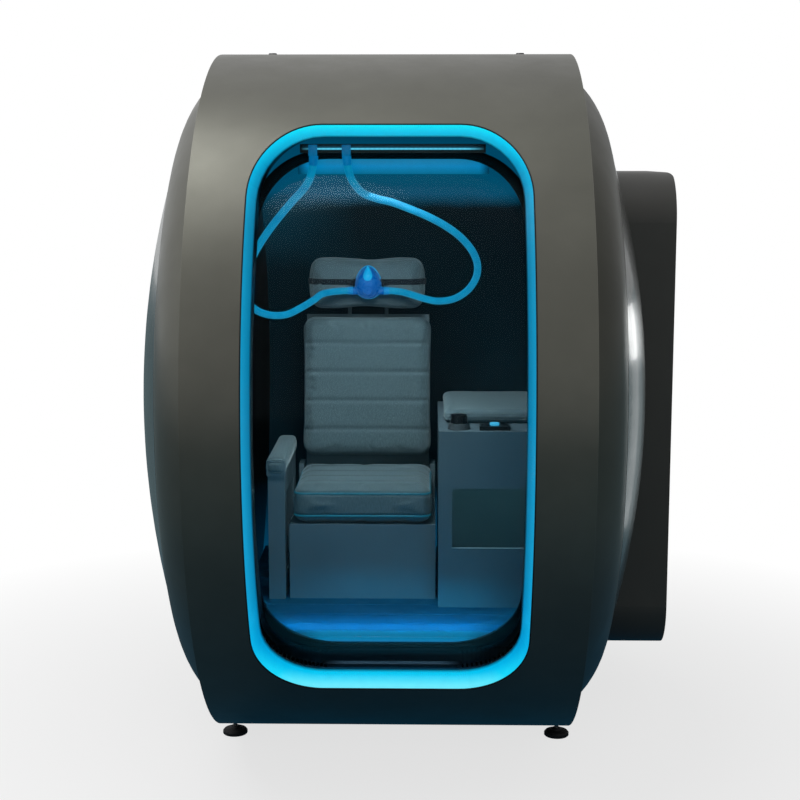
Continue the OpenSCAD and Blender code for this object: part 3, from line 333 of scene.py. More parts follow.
@dataclass(frozen=True)
class Leatherette(Finish):
    """Coated lining fabric with a pebbled grain, and painted cyan light glowing on its ceiling and low on
    its walls.
    """

    colour: Screen
    pebble: float = 420.0
    # Heights in metres where the painted cyan light begins and is full
    ceiling: Pair = (1.575, 1.63)
    left_wall: Pair = (1.36, 1.6)
    low_walls: Pair = (0.42, 0.6)

    def painted_cyan_light(self, g: Graph) -> NodeSocket:
        """Gives painted cyan light: a glow on the ceiling, high on the left wall and low on the walls."""
        parts = g.axes()
        soft = g.sums("MULTIPLY", g.sums("SUBTRACT", g.noise(g.place(), 6, 3), 0.5), 0.05)
        height = g.sums("ADD", parts["Z"], soft)
        high = g.blend(g.spread(height, 0.0, 1.0, *self.ceiling), BLACK, tone(0, 74, 104))
        far = g.spread(parts["X"], 0.6, 0.0, -0.5, -0.2)
        side = g.sums("MULTIPLY", far, g.spread(height, 0.0, 1.0, *self.left_wall))
        low = g.blend(g.spread(height, 1.0, 0.0, *self.low_walls), BLACK, tone(2, 62, 92))
        both = g.blend(1.0, high, low, "ADD")
        return g.blend(side, both, tone(4, 60, 80), "LIGHTEN")

    def fill(self, g: Graph) -> None:
        """Builds the nodes."""
        place = g.place()
        cell = g.cells(place, self.pebble, "DISTANCE_TO_EDGE")
        base = tone(*self.colour)
        deep = shade(base, 0.55)
        colour = g.blend(g.spread(cell, 0.7, 0.0, 0.0, 0.12), base, deep)
        pale = shade(base, 1.4, 0.004)
        colour = g.blend(g.spread(g.noise(place, 3.0, 4), 0.0, 0.5, 0.45, 0.7), colour, pale)
        rough = g.spread(cell, 0.62, 0.42, 0.0, 0.2)
        g.surface(
            Base_Color=colour,
            Roughness=rough,
            Normal=g.relief(g.spread(cell, 0.0, 1.0, 0.0, 0.25), 0.0002, 0.5),
            Specular_IOR_Level=0.2,
            # This emission is painted cyan light, not a lamp
            Emission_Color=self.painted_cyan_light(g),
            Emission_Strength=1.0,
        )


@dataclass(frozen=True)
class Woven(Finish):
    """Upholstery cloth: warp and weft picked by the way each face looks, with melange and sheen."""

    colour: Screen
    second: Screen
    thread: float = 1.1
    depth: float = 0.0003
    sheen: float = 0.25

    def weave(self, g: Graph) -> NodeSocket:
        """Gives the height of the crossing threads on any face.

        Args:
            g: The node tree to build in.

        Returns:
            The height factor.
        """
        count = 1000 / self.thread / 20 * math.pi
        place = g.place()
        lines = {axis: g.wave(place, count, axis) for axis in "XYZ"}
        parts = g.axes(g.node("NewGeometry").outputs["Normal"])
        total = None
        for name, pair in zip("XYZ", ("YZ", "XZ", "XY")):
            facing = g.spread(g.sums("ABSOLUTE", parts[name]), 0.0, 1.0, 0.5, 0.65)
            crossing = g.sums("MAXIMUM", lines[pair[0]], g.sums("SUBTRACT", 1.0, lines[pair[1]]))
            term = g.sums("MULTIPLY", facing, crossing)
            total = term if total is None else g.sums("MAXIMUM", total, term)
        return total

    def fill(self, g: Graph) -> None:
        """Builds the nodes."""
        weave = self.weave(g)
        place = g.place()
        slub = g.noise(g.place(scale=(1, 1, 0.15)), 520, 2, 0.6)
        melange = g.noise(place, 90, 4, 0.7)
        base = tone(*self.colour)
        colour = g.blend(g.spread(slub, 0.0, 0.8, 0.42, 0.64), base, tone(*self.second))
        pale = shade(base, 1.25, 0.006)
        colour = g.blend(g.spread(melange, 0.0, 0.55, 0.45, 0.7), colour, pale)
        deep = shade(base, 0.45)
        colour = g.blend(g.spread(weave, 0.55, 0.0, 0.25, 0.75), colour, deep)
        height = g.sums("ADD", weave, g.sums("MULTIPLY", slub, 0.5))
        g.surface(
            Base_Color=colour,
            Roughness=g.spread(melange, 0.82, 0.95, 0.3, 0.7),
            Normal=g.relief(height, self.depth, 0.6),
            Specular_IOR_Level=0.2,
            Sheen_Weight=self.sheen,
            Sheen_Roughness=0.5,
        )


@dataclass(frozen=True)
class SiliconePaintedGlow(Finish):
    """Soft see-through rubber, as of hoses and masks, whose glow is painted light that keeps it evenly
    bright, with painted shade deepening its colour towards its rims.
    """

    colour: Screen
    deep: Screen
    rough: float = 0.3
    coat: float = 0.2
    # glow is painted light; body dims the lamp-lit base colour under it
    glow: float = 0.3
    body: float = 0.4

    def fill(self, g: Graph) -> None:
        """Builds the nodes."""
        place = g.place()
        haze = g.noise(place, 35, 4, 0.6)
        colour = g.blend(g.spread(haze, 0.0, 0.7, 0.4, 0.7), tone(*self.colour), tone(*self.deep))
        # Painted shade: the colour deepens towards the rims, by the angle of view
        rim = g.node("LayerWeight", {"Blend": 0.35})
        colour = g.blend(g.sums("MULTIPLY", rim.outputs["Facing"], 0.6), colour, tone(*self.deep))
        g.surface(
            Base_Color=g.blend(self.body, BLACK, colour),
            Emission_Color=colour,
            Emission_Strength=self.glow,
            Roughness=g.spread(g.noise(place, 60, 3), self.rough, self.rough + 0.14, 0.35, 0.7),
            Normal=g.relief(g.noise(place, 500, 2), 0.00004, 0.4),
            Coat_Weight=self.coat,
            Coat_Roughness=0.12,
        )


@dataclass(frozen=True)
class LightGuide(Finish):
    """Opal acrylic lit from its outer edge, brightest at the foot and head of the doorway, with a painted
    reflection drawn as a thin line inside it.
    """

    rim = (
        (0.0, (110, 236, 255)), (0.014, (92, 234, 255)), (0.035, (24, 218, 252)), (0.1, (6, 178, 232)),
        (0.2, (18, 160, 210)), (0.5, (20, 148, 194)), (0.84, (16, 146, 188)), (0.92, (10, 176, 220)),
        (0.975, (14, 210, 248)), (1.0, (20, 232, 252)),
    )
    root = (
        (0.0, (8, 214, 250)), (0.03, (0, 190, 240)), (0.09, (0, 156, 214)), (0.2, (6, 134, 180)),
        (0.5, (6, 122, 166)), (0.84, (4, 124, 164)), (0.93, (8, 148, 192)), (0.985, (22, 188, 226)),
        (1.0, (30, 194, 230)),
    )
    # The thin second line inside the dark groove, a painted reflection of the ring's light on the door's
    # edge: its level over the doorway's height
    line = (
        (0.0, (4, 96, 130)), (0.03, (14, 108, 140)), (0.2, (18, 70, 96)), (0.5, (20, 66, 92)),
        (0.84, (18, 96, 120)), (0.95, (24, 110, 130)), (1.0, (0, 20, 34)),
    )
    # The doorway's foot and head, then radii about the barrel's axis, all in metres
    doorway = (0.343, 1.831)
    outward = (0.945, 0.982)
    groove_end = (0.927, 0.939)
    reflection_line_end = (0.916, 0.924)

    def fill(self, g: Graph) -> None:
        """Builds the nodes."""
        parts = g.axes()
        height = g.spread(parts["Z"], 0.0, 1.0, *self.doorway)
        rim, root, line = (
            g.ramp(height, [(place, tone(*colour)) for place, colour in stops])
            for stops in (self.rim, self.root, self.line)
        )
        up = g.sums("SUBTRACT", parts["Z"], BARREL.z)
        reach = g.sums("SQRT", g.sums("ADD", g.sums("POWER", parts["Y"], 2), g.sums("POWER", up, 2)))
        depth = g.spread(reach, 0.0, 1.0, *self.outward)
        groove = g.spread(reach, 0.0, 1.0, *self.groove_end)
        edge = g.spread(reach, 1.0, 0.0, *self.reflection_line_end)
        cloud = g.spread(g.noise(g.place(), 40, 3), 0.95, 1.0, 0.3, 0.7)
        # The inner part glows dimly, with the painted reflection line in it
        inner = g.blend(edge, tone(0, 28, 46), line)
        lit = g.blend(cloud, BLACK, g.blend(groove, inner, g.blend(depth, root, rim)))
        g.surface(
            Base_Color=tone(4, 34, 48),
            Roughness=0.3,
            Emission_Color=lit,
            Emission_Strength=1.0,
        )


@dataclass(frozen=True)
class ClearSheet(Finish):
    """Clear acrylic: it passes light with a faint cool tint and mirrors by its angle."""

    def fill(self, g: Graph) -> None:
        """Builds the nodes."""
        haze = g.spread(g.noise(g.place(), 9.0, 5, 0.7), 0.02, 0.06, 0.4, 0.75)
        clear = g.node("BsdfTransparent", {"Color": tone(238, 250, 251)})
        gloss = g.node("BsdfGlossy", {"Color": (0.6, 0.7, 0.75, 1), "Roughness": haze})
        mirror = g.node("Fresnel", {"IOR": 1.14})
        g.close(g.layered(mirror.outputs[0], clear, gloss))


@dataclass(frozen=True)
class LitKey(Finish):
    """A small push button of opal plastic, lit from behind."""

    colour: Screen

    def fill(self, g: Graph) -> None:
        """Builds the nodes."""
        cloud = g.spread(g.noise(g.place(), 300, 2), 0.85, 1.0, 0.3, 0.7)
        g.surface(
            Base_Color=tone(60, 90, 100),
            Roughness=0.4,
            Emission_Color=tone(*self.colour),
            Emission_Strength=cloud,
        )


@dataclass(frozen=True)
class PaintedHighlightStrip(Finish):
    """A strip whose glow is painted: one bright line low on it, a painted highlight given as light, that
    fades at its ends.
    """

    def fill(self, g: Graph) -> None:
        """Builds the nodes."""
        parts = g.axes()
        rise = g.spread(parts["Z"], 0.0, 1.0, 1.766, 1.778)
        glow = g.ramp(
            rise,
            [(0.0, tone(4, 60, 84)), (0.1, tone(70, 190, 225)), (0.25, tone(130, 226, 252)),
             (0.42, tone(60, 176, 214)), (0.55, tone(8, 60, 80)), (1.0, tone(0, 20, 30))],
        )
        painted_fade = g.spread(g.across(), 1.0, 0.05, 0.2, 0.244)
        dots = g.spread(g.wave(g.place(), 24, "X"), 0.9, 1.0, 0.2, 0.8)
        g.surface(
            Base_Color=tone(20, 60, 76),
            Roughness=0.4,
            Emission_Color=glow,
            Emission_Strength=g.sums("MULTIPLY", painted_fade, dots),
        )


@dataclass(frozen=True)
class PaintedLightStrip(Finish):
    """A strip of painted cyan light, standing for a surface lit by the door's LEDs: it glows from its dim
    to its bright edge and fades at its ends.
    """

    dim_z: float
    bright_z: float
    dim: Screen
    bright: Screen
    full: float
    gone: float

    def fill(self, g: Graph) -> None:
        """Builds the nodes."""
        parts = g.axes()
        rise = g.spread(parts["Z"], 0.0, 1.0, self.dim_z, self.bright_z)
        glow = g.ramp(rise, [(0.0, tone(*self.dim)), (0.6, tone(4, 130, 186)), (1.0, tone(*self.bright))])
        painted_fade = g.spread(g.across(), 1.0, 0.12, self.full, self.gone)
        cloud = g.spread(g.noise(g.place(), 60, 3), 0.92, 1.0, 0.3, 0.7)
        g.surface(
            Base_Color=tone(6, 60, 84),
            Roughness=0.35,
            Emission_Color=glow,
            Emission_Strength=g.sums("MULTIPLY", painted_fade, cloud),
        )


@dataclass(frozen=True)
class ThresholdPaintedLight(Finish):
    """Brushed steel with painted light: it glows faintly in its middle and darkens to painted shade towards
    the ends of a bar.
    """

    def fill(self, g: Graph) -> None:
        """Builds the nodes."""
        painted_fade = g.spread(g.across(), 0.0, 1.0, 0.14, 0.19)
        brushed = g.spread(g.noise(g.place(), 900, 2), 0.0, 1.0, 0.3, 0.7)
        steel = g.blend(brushed, tone(96, 108, 120), tone(124, 134, 146))
        g.surface(
            Base_Color=g.blend(painted_fade, steel, tone(10, 12, 14)),
            Metallic=0.7,
            Roughness=0.45,
            Emission_Color=g.blend(painted_fade, tone(40, 54, 68), BLACK),
            Emission_Strength=0.6,
        )


class FinishBook:
    """Makes each finish once and hands it out by its slot."""

    recipes: dict[Slot, object] = {
        Slot.COWL: Paint((92, 92, 85), metallic=0.85, rough=(0.34, 0.42)),
        Slot.DOME: Paint((84, 84, 78), metallic=0.85, rough=(0.2, 0.26), coat=0.2, worn=0.15),
        Slot.VESSEL: BareSteel((120, 124, 128)),
        Slot.FRAME: Paint((62, 64, 66), rough=(0.42, 0.55), worn=0.45),
        Slot.GLOW: LightGuide(),
        Slot.SEAL: Moulded((14, 15, 17), rough=(0.6, 0.75), shine=0.25),
        Slot.TRIM: Moulded((12, 14, 17), rough=(0.28, 0.42), grain=1500, depth=0.00003, shine=0.5),
        Slot.LINING: Leatherette((2, 37, 47)),
        # Painted light: the cabin floor's deep cyan stands for the LEDs' light on its dark rubber
        Slot.FLOOR: Moulded((2, 62, 88), rough=(0.6, 0.8), grain=600, depth=0.0002, speckle=0.1),
        Slot.FABRIC: Woven((76, 88, 92), (98, 108, 112)),
        Slot.CONSOLE: Moulded((80, 90, 96), grain=1100, rough=(0.42, 0.56)),
        Slot.CABINET: Paint((51, 51, 47), rough=(0.4, 0.5), peel=420, peel_depth=0.00006, worn=0.35),
        Slot.PUMP: Paint((86, 92, 98), metallic=0.6, rough=(0.45, 0.65), peel=260, peel_depth=0.0003),
        Slot.TANK: Paint((214, 217, 219), rough=(0.25, 0.38), worn=0.1),
        Slot.CONTROL: Moulded((148, 151, 154)),
        Slot.FAN: Moulded((34, 35, 38), rough=(0.35, 0.5)),
        Slot.NYLON: Moulded((214, 216, 219), rough=(0.35, 0.5), worn=0.05),
        Slot.PANE: ClearSheet(),
        # The hoses', mask's and nose piece's glow is painted light
        Slot.HOSE: SiliconePaintedGlow((8, 146, 190), (0, 122, 168), rough=0.4, glow=0.86, body=0.12),
        Slot.MASK: SiliconePaintedGlow((8, 90, 160), (8, 70, 142), rough=0.24, coat=0.4, glow=0.75),
        Slot.SILICONE: SiliconePaintedGlow((14, 158, 208), (6, 126, 180), rough=0.28, coat=0.3, glow=0.85),
        Slot.STRAP: Woven((22, 25, 30), (40, 44, 50), thread=1.6, sheen=0.1),
    }

    def __init__(self) -> None:
        """Starts with no finish made."""
        self.made: dict[str, Material] = {}

    def get(self, slot: Slot) -> Material:
        """Gives the finish of a slot."""
        return self.named(slot.value, self.recipes[slot])

    def named(self, name: str, recipe: object) -> Material:
        """Gives a finish by its own name, made on first use."""
        if name not in self.made:
            self.made[name] = recipe.make("finish_" + name)
        return self.made[name]


BOOK = FinishBook()


def link(name: str, data: ID) -> Object:
    """Makes an object of some data and links it to the scene."""
    obj = bpy.data.objects.new(name, data)
    bpy.context.scene.collection.objects.link(obj)
    return obj


def modifier(obj: Object, name: str, kind: str, **settings: object) -> Modifier:
    """Adds a modifier and sets its properties."""
    made = obj.modifiers.new(name, kind)
    for key, value in settings.items():
        setattr(made, key, value)
    return made


def settle(obj: Object) -> Object:
    """Applies an object's modifiers and transform, so that its mesh holds its place.

    Args:
        obj: The object to settle, a mesh or a curve.

    Returns:
        The mesh object that holds the result, under the same name.
    """
    bpy.context.view_layer.update()
    graph = bpy.context.evaluated_depsgraph_get()
    mesh = bpy.data.meshes.new_from_object(obj.evaluated_get(graph))
    mesh.transform(obj.matrix_world)
    name = obj.name
    obj.name = name + "_blank"
    done = link(name, mesh)
    bpy.data.objects.remove(obj)
    return done


def mesh_piece(name: str, bm: bmesh.types.BMesh, smooth: float = 40.0) -> Object:
    """Turns a bmesh into an object at the origin.

    Args:
        name: The object's name.
        bm: The mesh, in the row frame. It is freed.
        smooth: Edges sharper than this angle, in degrees, stay sharp.

    Returns:
        The linked object.
    """
    mesh = bpy.data.meshes.new(name)
    for face in bm.faces:
        face.smooth = True
    for edge in bm.edges:
        if len(edge.link_faces) == 2 and edge.calc_face_angle(0.0) > math.radians(smooth):
            edge.smooth = False
    bm.to_mesh(mesh)
    bm.free()
    return link(name, mesh)


def dress(obj: Object, slot: Slot, body: str | None, finish: Material | None = None) -> Object:
    """Gives a piece its finish, picked by its record slot, and the body that it rides on.

    Args:
        obj: The piece.
        slot: The record's slot.
        body: The body, or None to leave the piece on no body.
        finish: A finish of its own in place of the slot's.

    Returns:
        The piece.
    """
    obj.data.materials.clear()
    obj.data.materials.append(finish or BOOK.get(slot))
    if body:
        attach(obj, body)
    log.info("%s: %d faces on %s", obj.name, len(obj.data.polygons), body)
    return obj


def sweep(
    name: str,
    points: list[Vector],
    radius: float,
    shares: list[float] | None = None,
    closed: bool = False,
    sides: int = 2,
) -> Object:
    """Sweeps a round section along points and returns it as a smooth mesh.

    Args:
        name: The piece's name.
        points: Points in the row frame.
        radius: The section's radius in metres.
        shares: A factor on the radius for each point, 1 where it is left out.
        closed: True where the last point meets the first.
        sides: The bevel resolution.

    Returns:
        The mesh object.
    """
    data = bpy.data.curves.new(name, "CURVE")
    data.dimensions = "3D"
    data.bevel_depth = radius
    data.bevel_resolution = sides
    data.use_fill_caps = not closed
    spline = data.splines.new("POLY")
    spline.points.add(len(points) - 1)
    for spot, point, share in zip(spline.points, points, shares or [1.0] * len(points)):
        spot.co = (*point, 1.0)
        spot.radius = share
    spline.use_cyclic_u = closed
    done = settle(link(name, data))
    done.data.shade_smooth()
    return done


def soften(bm: bmesh.types.BMesh, edges: object, width: float, segments: int) -> None:
    """Rounds edges of a mesh by a width in millimetres."""
    bmesh.ops.bevel(
        bm, geom=edges, offset=width * MM, segments=segments, profile=0.5, affect="EDGES", material=-1
    )


def box(size: Triple, middle: Vector, width: float, segments: int) -> bmesh.types.BMesh:
    """Makes a box with rounded edges.

    Args:
        size: Its size in millimetres.
        middle: Its middle in the row frame.
        width: How wide its edges are rounded, in millimetres.
        segments: The facets of each rounding.

    Returns:
        The mesh.
    """
    bm = bmesh.new()
    bmesh.ops.create_cube(bm, size=1)
    bmesh.ops.scale(bm, vec=[s * MM for s in size], verts=bm.verts)
    soften(bm, bm.edges, width, segments)
    bmesh.ops.translate(bm, vec=middle, verts=bm.verts)
    return bm


def bar(profile: list[Pair], reach: float, width: float) -> bmesh.types.BMesh:
    """Extrudes a profile along the barrel's axis, with rounded edges.

    Args:
        profile: Its outline as front-to-back and up, in millimetres.
        reach: Half its length in millimetres.
        width: How wide its edges are rounded, in millimetres.

    Returns:
        The mesh.
    """
    bm = bmesh.new()
    verts = [bm.verts.new(at(-reach, *point)) for point in profile]
    grown = bmesh.ops.extrude_face_region(bm, geom=[bm.faces.new(verts)])["geom"]
    ends = [g for g in grown if isinstance(g, bmesh.types.BMVert)]
    bmesh.ops.translate(bm, vec=(2 * reach * MM, 0, 0), verts=ends)
    bmesh.ops.recalc_face_normals(bm, faces=bm.faces)
    soften(bm, bm.edges, width, 2)
    return bm


def cone(
    sides: int, radii: Pair, depth: float, width: float, segments: int
) -> bmesh.types.BMesh:
    """Makes a blunt cone along Z with rounded rims.

    Args:
        sides: The facets round it.
        radii: Its lower and upper radius in millimetres.
        depth: Its length in metres.
        width: How wide its rims are rounded, in millimetres.
        segments: The facets of each rounding.

    Returns:
        The mesh.
    """
    bm = bmesh.new()
    low, high = (r * MM for r in radii)
    bmesh.ops.create_cone(bm, cap_ends=True, segments=sides, radius1=low, radius2=high, depth=depth)
    soften(bm, [e for e in bm.edges if e.calc_face_angle(0) > 1], width, segments)
    return bm


def level_cut(bm: bmesh.types.BMesh, height: float) -> list[Vector]:
    """Cuts a mesh level at a height in metres and walks the longest loop of the cut.

    A set of vertices has a new order each run, so each walk starts and turns by place.

    Args:
        bm: The mesh. It is freed.
        height: The height of the cut.

    Returns:
        The loop's points in order.
    """
    bmesh.ops.bisect_plane(
        bm,
        geom=bm.verts[:] + bm.edges[:] + bm.faces[:],
        plane_co=(0, 0, height),
        plane_no=(0, 0, 1),
        clear_inner=True,
        clear_outer=True,
    )
    left = set(bm.verts)
    best: list[Vector] = []
    while left:
        chain = []
        ways = left
        while ways:
            chain.append(min(ways, key=lambda v: tuple(v.co)))
            left.discard(chain[-1])
            ways = [v for v in (e.other_vert(chain[-1]) for e in chain[-1].link_edges) if v in left]
        if len(chain) > len(best):
            best = [v.co.copy() for v in chain]
    bm.free()
    return best


class Studio:
    """The camera, the pale floor and the soft lamps."""

    # Place from the room's floor to its ceiling, level of light there, and how cool it is
    room = (
        (0.0, 0.09, 0.6), (0.15, 0.17, 0.45), (0.3, 0.25, 0.35), (0.45, 0.45, 0.05), (0.62, 0.44, 0.0),
        (0.73, 0.52, 0.0), (0.85, 0.62, 0.0), (0.97, 0.78, 0.0),
    )
    room_level = 1.43
    room_slant = 0.6
    even_level = 0.34
    mirrored_floor = 0.16
    eye = Vector((0.04035, -4.7077, 1.7486))
    pitch = 81.13
    yaw = 1.04
    lens = 70.2

    def camera(self) -> None:
        """Puts the camera where the photograph was taken from."""
        data = bpy.data.cameras.new("camera")
        data.lens = self.lens
        data.sensor_width = 36
        data.clip_end = 100
        made = link("camera", data)
        made.location = self.eye
        made.rotation_euler = (math.radians(self.pitch), 0, math.radians(self.yaw))
        bpy.context.scene.camera = made

    def world(self) -> None:
        """Sets a white background, a softly graded room in reflections and a low even light."""
        world = bpy.data.worlds.new("studio")
        g = Graph(world, "OutputWorld")
        path = g.node("LightPath").outputs
        way = g.axes(g.node("TexCoord").outputs["Generated"])
        stops = [
            (place, (level * (1 - cool), level * (1 - cool * 0.35), level, 1.0))
            for place, level, cool in self.room
        ]
        colour = g.ramp(g.spread(way["Z"], 0.0, 1.0, -1.0, 1.0), stops)
        slant = {0: way["X"], 1: -self.room_slant * self.room_level, 2: self.room_level}
        strength = g.node("Math", slant, operation="MULTIPLY_ADD").outputs[0]
        room = g.node("Background", {"Color": colour, "Strength": strength})
        even = g.node("Background", {"Color": (0.97, 0.99, 1.0, 1.0), "Strength": self.even_level})
        white = g.node("Background", {"Color": WHITE, "Strength": 1.0})
        mirrored = g.sums("MAXIMUM", path["Is Glossy Ray"], path["Is Transmission Ray"])
        g.close(g.layered(path["Is Camera Ray"], g.layered(mirrored, even, room), white))
        bpy.context.scene.world = world

    def floor(self) -> None:
        """Lays a pale floor that keeps the object's shadow and fades to white; to bounced light and in
        reflections it is dark blue-grey, with a painted blue shadow near the object.
        """
        bm = bmesh.new()
        bmesh.ops.create_circle(bm, cap_ends=True, segments=96, radius=30)
        floor = mesh_piece("studio_floor", bm)
        g = Graph(bpy.data.materials.new("floor_paper"))
        path = g.node("LightPath").outputs
        glossy = path["Is Glossy Ray"]
        parts = g.axes()
        spot = g.sums("ADD", g.sums("POWER", parts["X"], 2), g.sums("POWER", parts["Y"], 2))
        seen = g.sums("MAXIMUM", path["Is Camera Ray"], path["Is Transmission Ray"])
        seen = g.sums("MAXIMUM", seen, g.sums("MULTIPLY", glossy, self.mirrored_floor))
        share = g.sums("MULTIPLY", g.spread(spot, 0.72, 1.0, 0.8, 6.0), seen)
        # To bounced and reflected rays the floor is dark blue-grey: less bounce light, and painted shade in
        # reflections
        bounced = g.sums("MAXIMUM", path["Is Diffuse Ray"], glossy)
        matt = g.blend(bounced, (0.82, 0.82, 0.82, 1), (0.06, 0.11, 0.14, 1))
        away = g.node("VectorMath", {0: g.node("NewGeometry").outputs["Position"]}, operation="LENGTH")
        # Painted shadow in reflections: blue near the object, pale far off
        far = g.spread(away.outputs["Value"], 0.0, 1.0, 0.9, 2.6)
        lit = g.blend(glossy, WHITE, g.blend(far, (0.0, 0.34, 0.7, 1), (0.6, 0.85, 0.9, 1)))
        paper, glow = g.node("BsdfDiffuse", {"Color": matt}), g.node("Emission", {"Color": lit})
        g.close(g.layered(share, paper, glow))
        floor.data.materials.append(g.owner)

    def lamp(
        self,
        name: str,
        place: Vector,
        aim: Vector,
        size: Pair,
        power: float,
        colour: Triple = (1, 1, 1),
        mirrored: bool = False,
        matt: bool = True,
        beam: float = 180.0,
    ) -> None:
        """Hangs a soft box.

        Args:
            name: The lamp's name.
            place: Its middle, in metres.
            aim: The point that it looks at.
            size: Its width and height in metres.
            power: Its power in watts.
            colour: Its linear colour.
            mirrored: True shows it in reflections.
            matt: False keeps its light off matt surfaces.
            beam: How wide its light opens, in degrees.
        """
        data = bpy.data.lights.new(name, "AREA")
        data.spread = math.radians(beam)
        data.shape = "RECTANGLE"
        data.size, data.size_y = size
        data.energy = power
        data.color = colour
        made = link(name, data)
        made.location = place
        made.rotation_euler = (aim - place).to_track_quat("-Z", "Y").to_euler()
        made.visible_camera = False
        made.visible_glossy = mirrored
        made.visible_diffuse = matt

    def lamps(self) -> None:
        """Hangs the room's soft boxes and the cyan strips inside the cabin."""
        self.lamp("key", Vector((-1.7, -1.1, 4.6)), BARREL, (1.8, 3.2), 64, mirrored=True)
        self.lamp("fill", Vector((0.9, -4.4, 2.0)), at(0, 0, -100), (1.6, 1.6), 26)
        dome = at(630, -650, 200)
        for name, way, size, power in (
            ("streak_hot", (0.43, 0.90, -0.06), (0.26, 0.3), 0.9),
            ("streak", (0.42, 0.89, -0.3), (0.32, 1.7), 1.1),
        ):
            self.lamp(name, dome + 3 * Vector(way), dome, size, power, mirrored=True, matt=False)
        cyan = (0.0, 0.5, 0.95)
        self.lamp("floor_wash", at(-20, -440, -545), at(-20, -400, -620), (0.6, 0.02), 1.8, cyan, beam=140)
        self.lamp("foot_wash", at(0, -480, -596), at(0, 0, -480), (0.6, 0.02), 0.4, cyan)
        for side in (-1, 1):
            place, wall = at(side * 300, -560, 60), at(side * 420, -100, 60)
            self.lamp(f"wall_wash_{side + 1}", place, wall, (0.03, 0.9), 0.5, cyan)
        soft = (0.9, 0.96, 1.0)
        self.lamp("reading", at(-60, -400, 600), at(-80, 150, -300), (0.4, 0.15), 5.0, soft, beam=120)
        self.lamp("niche", at(300, -150, -112), at(300, 150, -560), (0.1, 0.06), 1.6, (0.5, 0.9, 1.0))


@dataclass(frozen=True)
class CushionForm:
    """One cushion: its size, where it sits and how it is sewn, in millimetres."""

    name: str
    node: str
    body: str
    middle: Triple
    size: Triple
    turned: bool
    leaning: bool
    plan_r: float
    edge_r: float
    cap: float
    voxel: float
    fill: float
    channels: tuple[float, ...] = ()
    piping: float = 4.0
    # True gives the piping a glow of painted cyan light
    piping_painted_glow: bool = False


